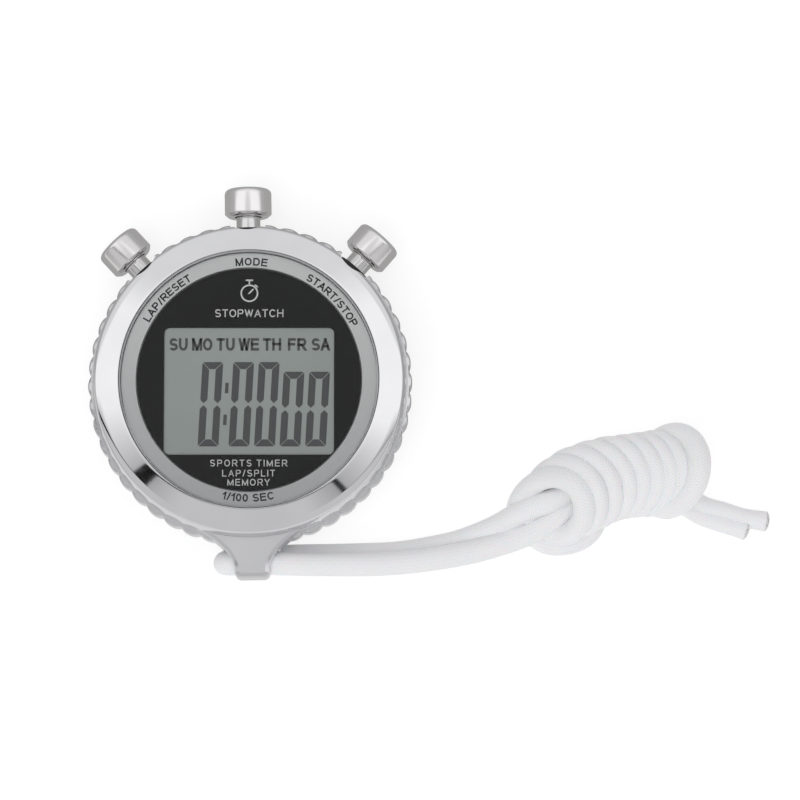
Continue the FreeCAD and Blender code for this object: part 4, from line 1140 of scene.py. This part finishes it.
def make_wrap(fabric):
    """The wrapped hank: turns that fan out from its mouth to its larger end ring, both ends tucked in."""
    far_side = [(53.2, -20.8), (57.7, -16.8), (64.4, -14.3), (71.8, -13.0), (78.2, -12.0)]
    near_side = [(58.4, -30.4), (65.0, -27.4), (70.2, -25.1), (74.5, -24.6), (77.8, -24.9)]
    start, end = Vector((57.1, -24.8, WRAP_HEIGHT)), Vector((75.4, -18.4, WRAP_HEIGHT))
    axis = (end - start).normalized()
    dense = []
    for step in range(WRAP_TURNS * TURN_SHARE + 1):
        share = step / (WRAP_TURNS * TURN_SHARE)
        far, near = along_curve(far_side, share), along_curve(near_side, share)
        across = (far - near).normalized()
        lean = Vector((across.y, -across.x)) * (5.4 - 0.6 * share)
        width = tuck(share, WRAP_TURNS)
        inward = axis * math.copysign(TUCK_LENGTH * (1.0 - width), 0.5 - share)
        dense.append(inward + ring_point(
            far, near, lean, WRAP_HEIGHT, WRAP_REACH, share * WRAP_TURNS - 0.35, width))
    path = even_path(dense, 0.3)

    def outward(index):
        offset = path[index] - start
        return offset - axis * offset.dot(axis)

    def size(share):
        return 2.1, 2.6 - 0.85 * min(1.0, share * 5)

    wrap = add_piece("cord_wrap", cord_mesh("cord_wrap", path, size, outward), fabric, "lanyard")
    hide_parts("lanyard_cord")

    far, near, lean = Vector((80.6, -11.2)), Vector((79.0, -25.2)), Vector((5.2, -0.2))
    ring = []
    for step in range(RING_STEPS + 1):
        share = step / RING_STEPS
        width = tuck(share, 1.0)
        ring.append(ring_point(far, near, lean, 8.8, 6.2, 0.71 - share, width)
                    - axis * TUCK_LENGTH * (1.0 - width))
    add_piece("cord_end_ring", cord_mesh("cord_end_ring", even_path(ring)), fabric, "lanyard")

    low_turn = smooth_path([
        (53.0, -24.5, 5.5), (52.9, -28.2, 3.0), (55.9, -30.7, 2.3), (59.5, -31.1, 2.3), (63.0, -30.0, 2.3),
        (65.2, -27.6, 2.4), (65.8, -24.0, 4.0)])
    add_piece("cord_low_turn", cord_mesh("cord_low_turn", low_turn), fabric, "lanyard")


def make_tails(fabric):
    """The two cut ends, slightly flared where they were cut and sealed."""
    paths = {
        "cord_tail_long": [(78.0, -19.5, 8.0), (82.0, -22.0, 5.5), (86.5, -24.4, 3.2), (90.0, -25.4, 2.3),
                           (93.6, -26.6, 2.0), (98.3, -27.5, 2.0)],
        "cord_tail_short": [(78.0, -22.0, 5.5), (82.0, -24.0, 4.2), (85.7, -26.1, 2.6), (88.9, -27.3, 2.0),
                            (94.4, -29.1, 1.9)],
    }

    def size(share):
        half = 1.85 * (1.0 + 0.08 * max(0.0, (share - 0.9) / 0.1))
        return half, half

    for name, points in paths.items():
        add_piece(name, cord_mesh(name, smooth_path(points), size), fabric, "lanyard")


# ---------------------------------------------------------------- the CAD nodes that stay


def paint_nodes(rubber, steel):
    """Give every CAD node that stays its own procedural material."""
    screw = plated("screw_steel", (0.50, 0.50, 0.50), 0.32, 0.08, 3000.0, 0.05)
    module = moulded("module_plastic", (0.03, 0.03, 0.035), 0.5)
    finishes = {
        "case_back": turned_metal("back_steel", (0.58, 0.58, 0.59), 0.32),
        "case_back_screws": screw,
        "board_screws": screw,
        "case_back_gasket": rubber,
        "bezel_gasket": rubber,
        "lens_gasket": moulded("gasket_nylon", (0.46, 0.46, 0.47), 0.5),
        "lcd_reflector": moulded("reflector_film", (0.45, 0.48, 0.46), 0.4),
        "zebra_strips": moulded("strip_rubber", (0.5, 0.2, 0.24), 0.6),
        "module_frame": module,
        "battery_holder": module,
        "circuit_board": board_green(),
        "controller_chip": moulded("chip_epoxy", (0.02, 0.02, 0.022), 0.45),
        "quartz_crystal": steel,
        "chip_capacitors": moulded("capacitor_ceramic", (0.42, 0.3, 0.18), 0.4),
        "button_cell": turned_metal("cell_steel", (0.7, 0.7, 0.7), 0.25),
        "battery_clip": steel,
        "battery_contact": steel,
        "buzzer_disc": turned_metal("buzzer_brass", (0.72, 0.53, 0.22), 0.3),
        "buzzer_spring": steel,
    }
    for name in PUSHERS:
        for part in ("_clip", "_stem"):
            finishes[name + part] = steel
        finishes[name + "_seal"] = rubber
    for node, material in finishes.items():
        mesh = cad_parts[node].data
        mesh.materials.clear()
        mesh.materials.append(material)


# ---------------------------------------------------------------- stage


def studio_sky():
    """A soft studio: white panels overhead with a dark gap between them, and grey walls."""
    sky = Shader(bpy.data.worlds.new("studio"))
    bpy.context.scene.world = sky.owner
    coordinates = sky.node("ShaderNodeTexCoord")
    x, y, z = sky.split(coordinates.outputs["Generated"])
    height = sky.math("MAXIMUM", z, 0.05)
    right, ahead = sky.math("DIVIDE", x, height), sky.math("DIVIDE", y, height)

    seam = sky.math("ADD", sky.math("ADD", ahead, 0.196), sky.math("MULTIPLY", right, 0.0733))
    far_panel = sky.math("MULTIPLY", sky.span(seam, 0.0, 0.22, 0.42, 0.95),
                         sky.span(ahead, 0.40, 0.54, 1.0, 0.76))
    near_panel = sky.span(seam, -0.08, 0.0, 0.57, 0.36)
    is_far = sky.math("GREATER_THAN", seam, 0.0)
    panels = sky.math("ADD", sky.math("MULTIPLY", far_panel, is_far),
                      sky.math("MULTIPLY", near_panel, sky.math("SUBTRACT", 1.0, is_far)))
    past_middle = sky.math("SUBTRACT", ahead, 0.10)
    away = sky.math("SQRT", sky.math("ADD", sky.math("MULTIPLY", right, right),
                                     sky.math("MULTIPLY", past_middle, past_middle)))
    dim_middle = sky.span(away, 0.14, 0.32, 0.70, 1.0)
    half_gap = sky.math("MAXIMUM", sky.math("SUBTRACT", 0.0125, sky.math("MULTIPLY", right, 0.0218)), 0.003)
    gap = sky.span(sky.math("SUBTRACT", sky.math("ABSOLUTE", seam), half_gap), -0.002, 0.002, 0.02, 1.0)
    overhead = sky.math("MULTIPLY", sky.math("MULTIPLY", panels, dim_middle), gap)

    walls = sky.span(y, -0.9, -0.4, 0.68, 0.40)
    rise = sky.span(z, 0.30, 0.55, 0.0, 1.0)
    level = sky.math("ADD", sky.math("MULTIPLY", overhead, rise),
                     sky.math("MULTIPLY", walls, sky.math("SUBTRACT", 1.0, rise)))
    background = sky.tree.nodes["Background"]
    sky.feed(background.inputs["Color"], (0.985, 0.985, 1.0, 1.0))
    sky.feed(background.inputs["Strength"], level)


def set_stage():
    """Pale floor, soft studio light and the camera."""
    reach = 6.0
    low = cad_low.z - 0.0002
    mesh = bpy.data.meshes.new("table")
    corners = [(-reach, -reach, low), (reach, -reach, low), (reach, reach, low), (-reach, reach, low)]
    mesh.from_pydata(corners, [], [(0, 1, 2, 3)])
    mesh.materials.append(floor_white())
    table = bpy.data.objects.new("table", mesh)
    bpy.context.scene.collection.objects.link(table)

    sun_data = bpy.data.lights.new("soft_sun", "SUN")
    sun_data.energy = 0.9
    sun_data.angle = math.radians(50)
    sun = bpy.data.objects.new("soft_sun", sun_data)
    sun.rotation_euler = (math.radians(24), math.radians(-14), 0)
    sun.visible_glossy = False
    bpy.context.scene.collection.objects.link(sun)
    studio_sky()

    distance, picture_width = 0.9, 0.1518
    elevation = math.radians(82.5)
    roll = math.radians(-1.0)
    target = Vector((0.0286, -0.0044, 0.0145))
    back = Vector((0, -math.cos(elevation), math.sin(elevation)))
    data = bpy.data.cameras.new("camera")
    data.sensor_width = 36.0
    data.lens = data.sensor_width * distance / picture_width
    camera = bpy.data.objects.new("camera", data)
    camera.location = target + back * distance
    camera.rotation_mode = "QUATERNION"
    turn = (-back).to_track_quat("-Z", "Y").to_matrix() @ Matrix.Rotation(roll, 3, "Z")
    camera.rotation_quaternion = turn.to_quaternion()
    bpy.context.scene.collection.objects.link(camera)
    bpy.context.scene.camera = camera
    bpy.context.scene.view_settings.view_transform = "Standard"


# ---------------------------------------------------------------- the whole stopwatch

satin = plated("satin_plating", (0.80, 0.80, 0.81), 0.19, 0.03)
polished = plated("polished_plating", (0.93, 0.93, 0.94), 0.035, 0.015, 1200.0, 0.003)
neck_metal = plated("neck_plating", (0.80, 0.79, 0.78), 0.12, 0.04, 1500.0)
nickel = plated("satin_nickel", (0.98, 0.96, 0.955), 0.17, 0.03, 1500.0)
rubber = moulded("seal_rubber", (0.02, 0.018, 0.017), 0.6)
fabric = [braid_cloth(), cord_end()]

make_case(satin)
make_lug(satin)
make_bezel(polished)
make_lens(lens_glass())
make_legend_ring(brushed_ring_metal())
make_face(moulded("face_black", (0.005, 0.005, 0.0055), 0.35, 3000.0, 0.03, 0.1))
make_ring_legends(printed("dark_ink", (0.03, 0.03, 0.035), 0.5))
make_face_legends(printed("white_ink", (0.72, 0.72, 0.72), 0.5))
make_display(display_ground(), printed("display_ink", (0.085, 0.086, 0.09), 0.4))
for pusher, pusher_angle in PUSHERS.items():
    make_pusher(pusher, pusher_angle, nickel, neck_metal, rubber)
contact_steel = plated("contact_steel", (0.62, 0.60, 0.56), 0.28, 0.08, 2500.0, 0.05)
make_press_parts(contact_steel)
make_loop_cord(fabric)
make_wrap(fabric)
make_tails(fabric)
paint_nodes(rubber, contact_steel)
set_stage()
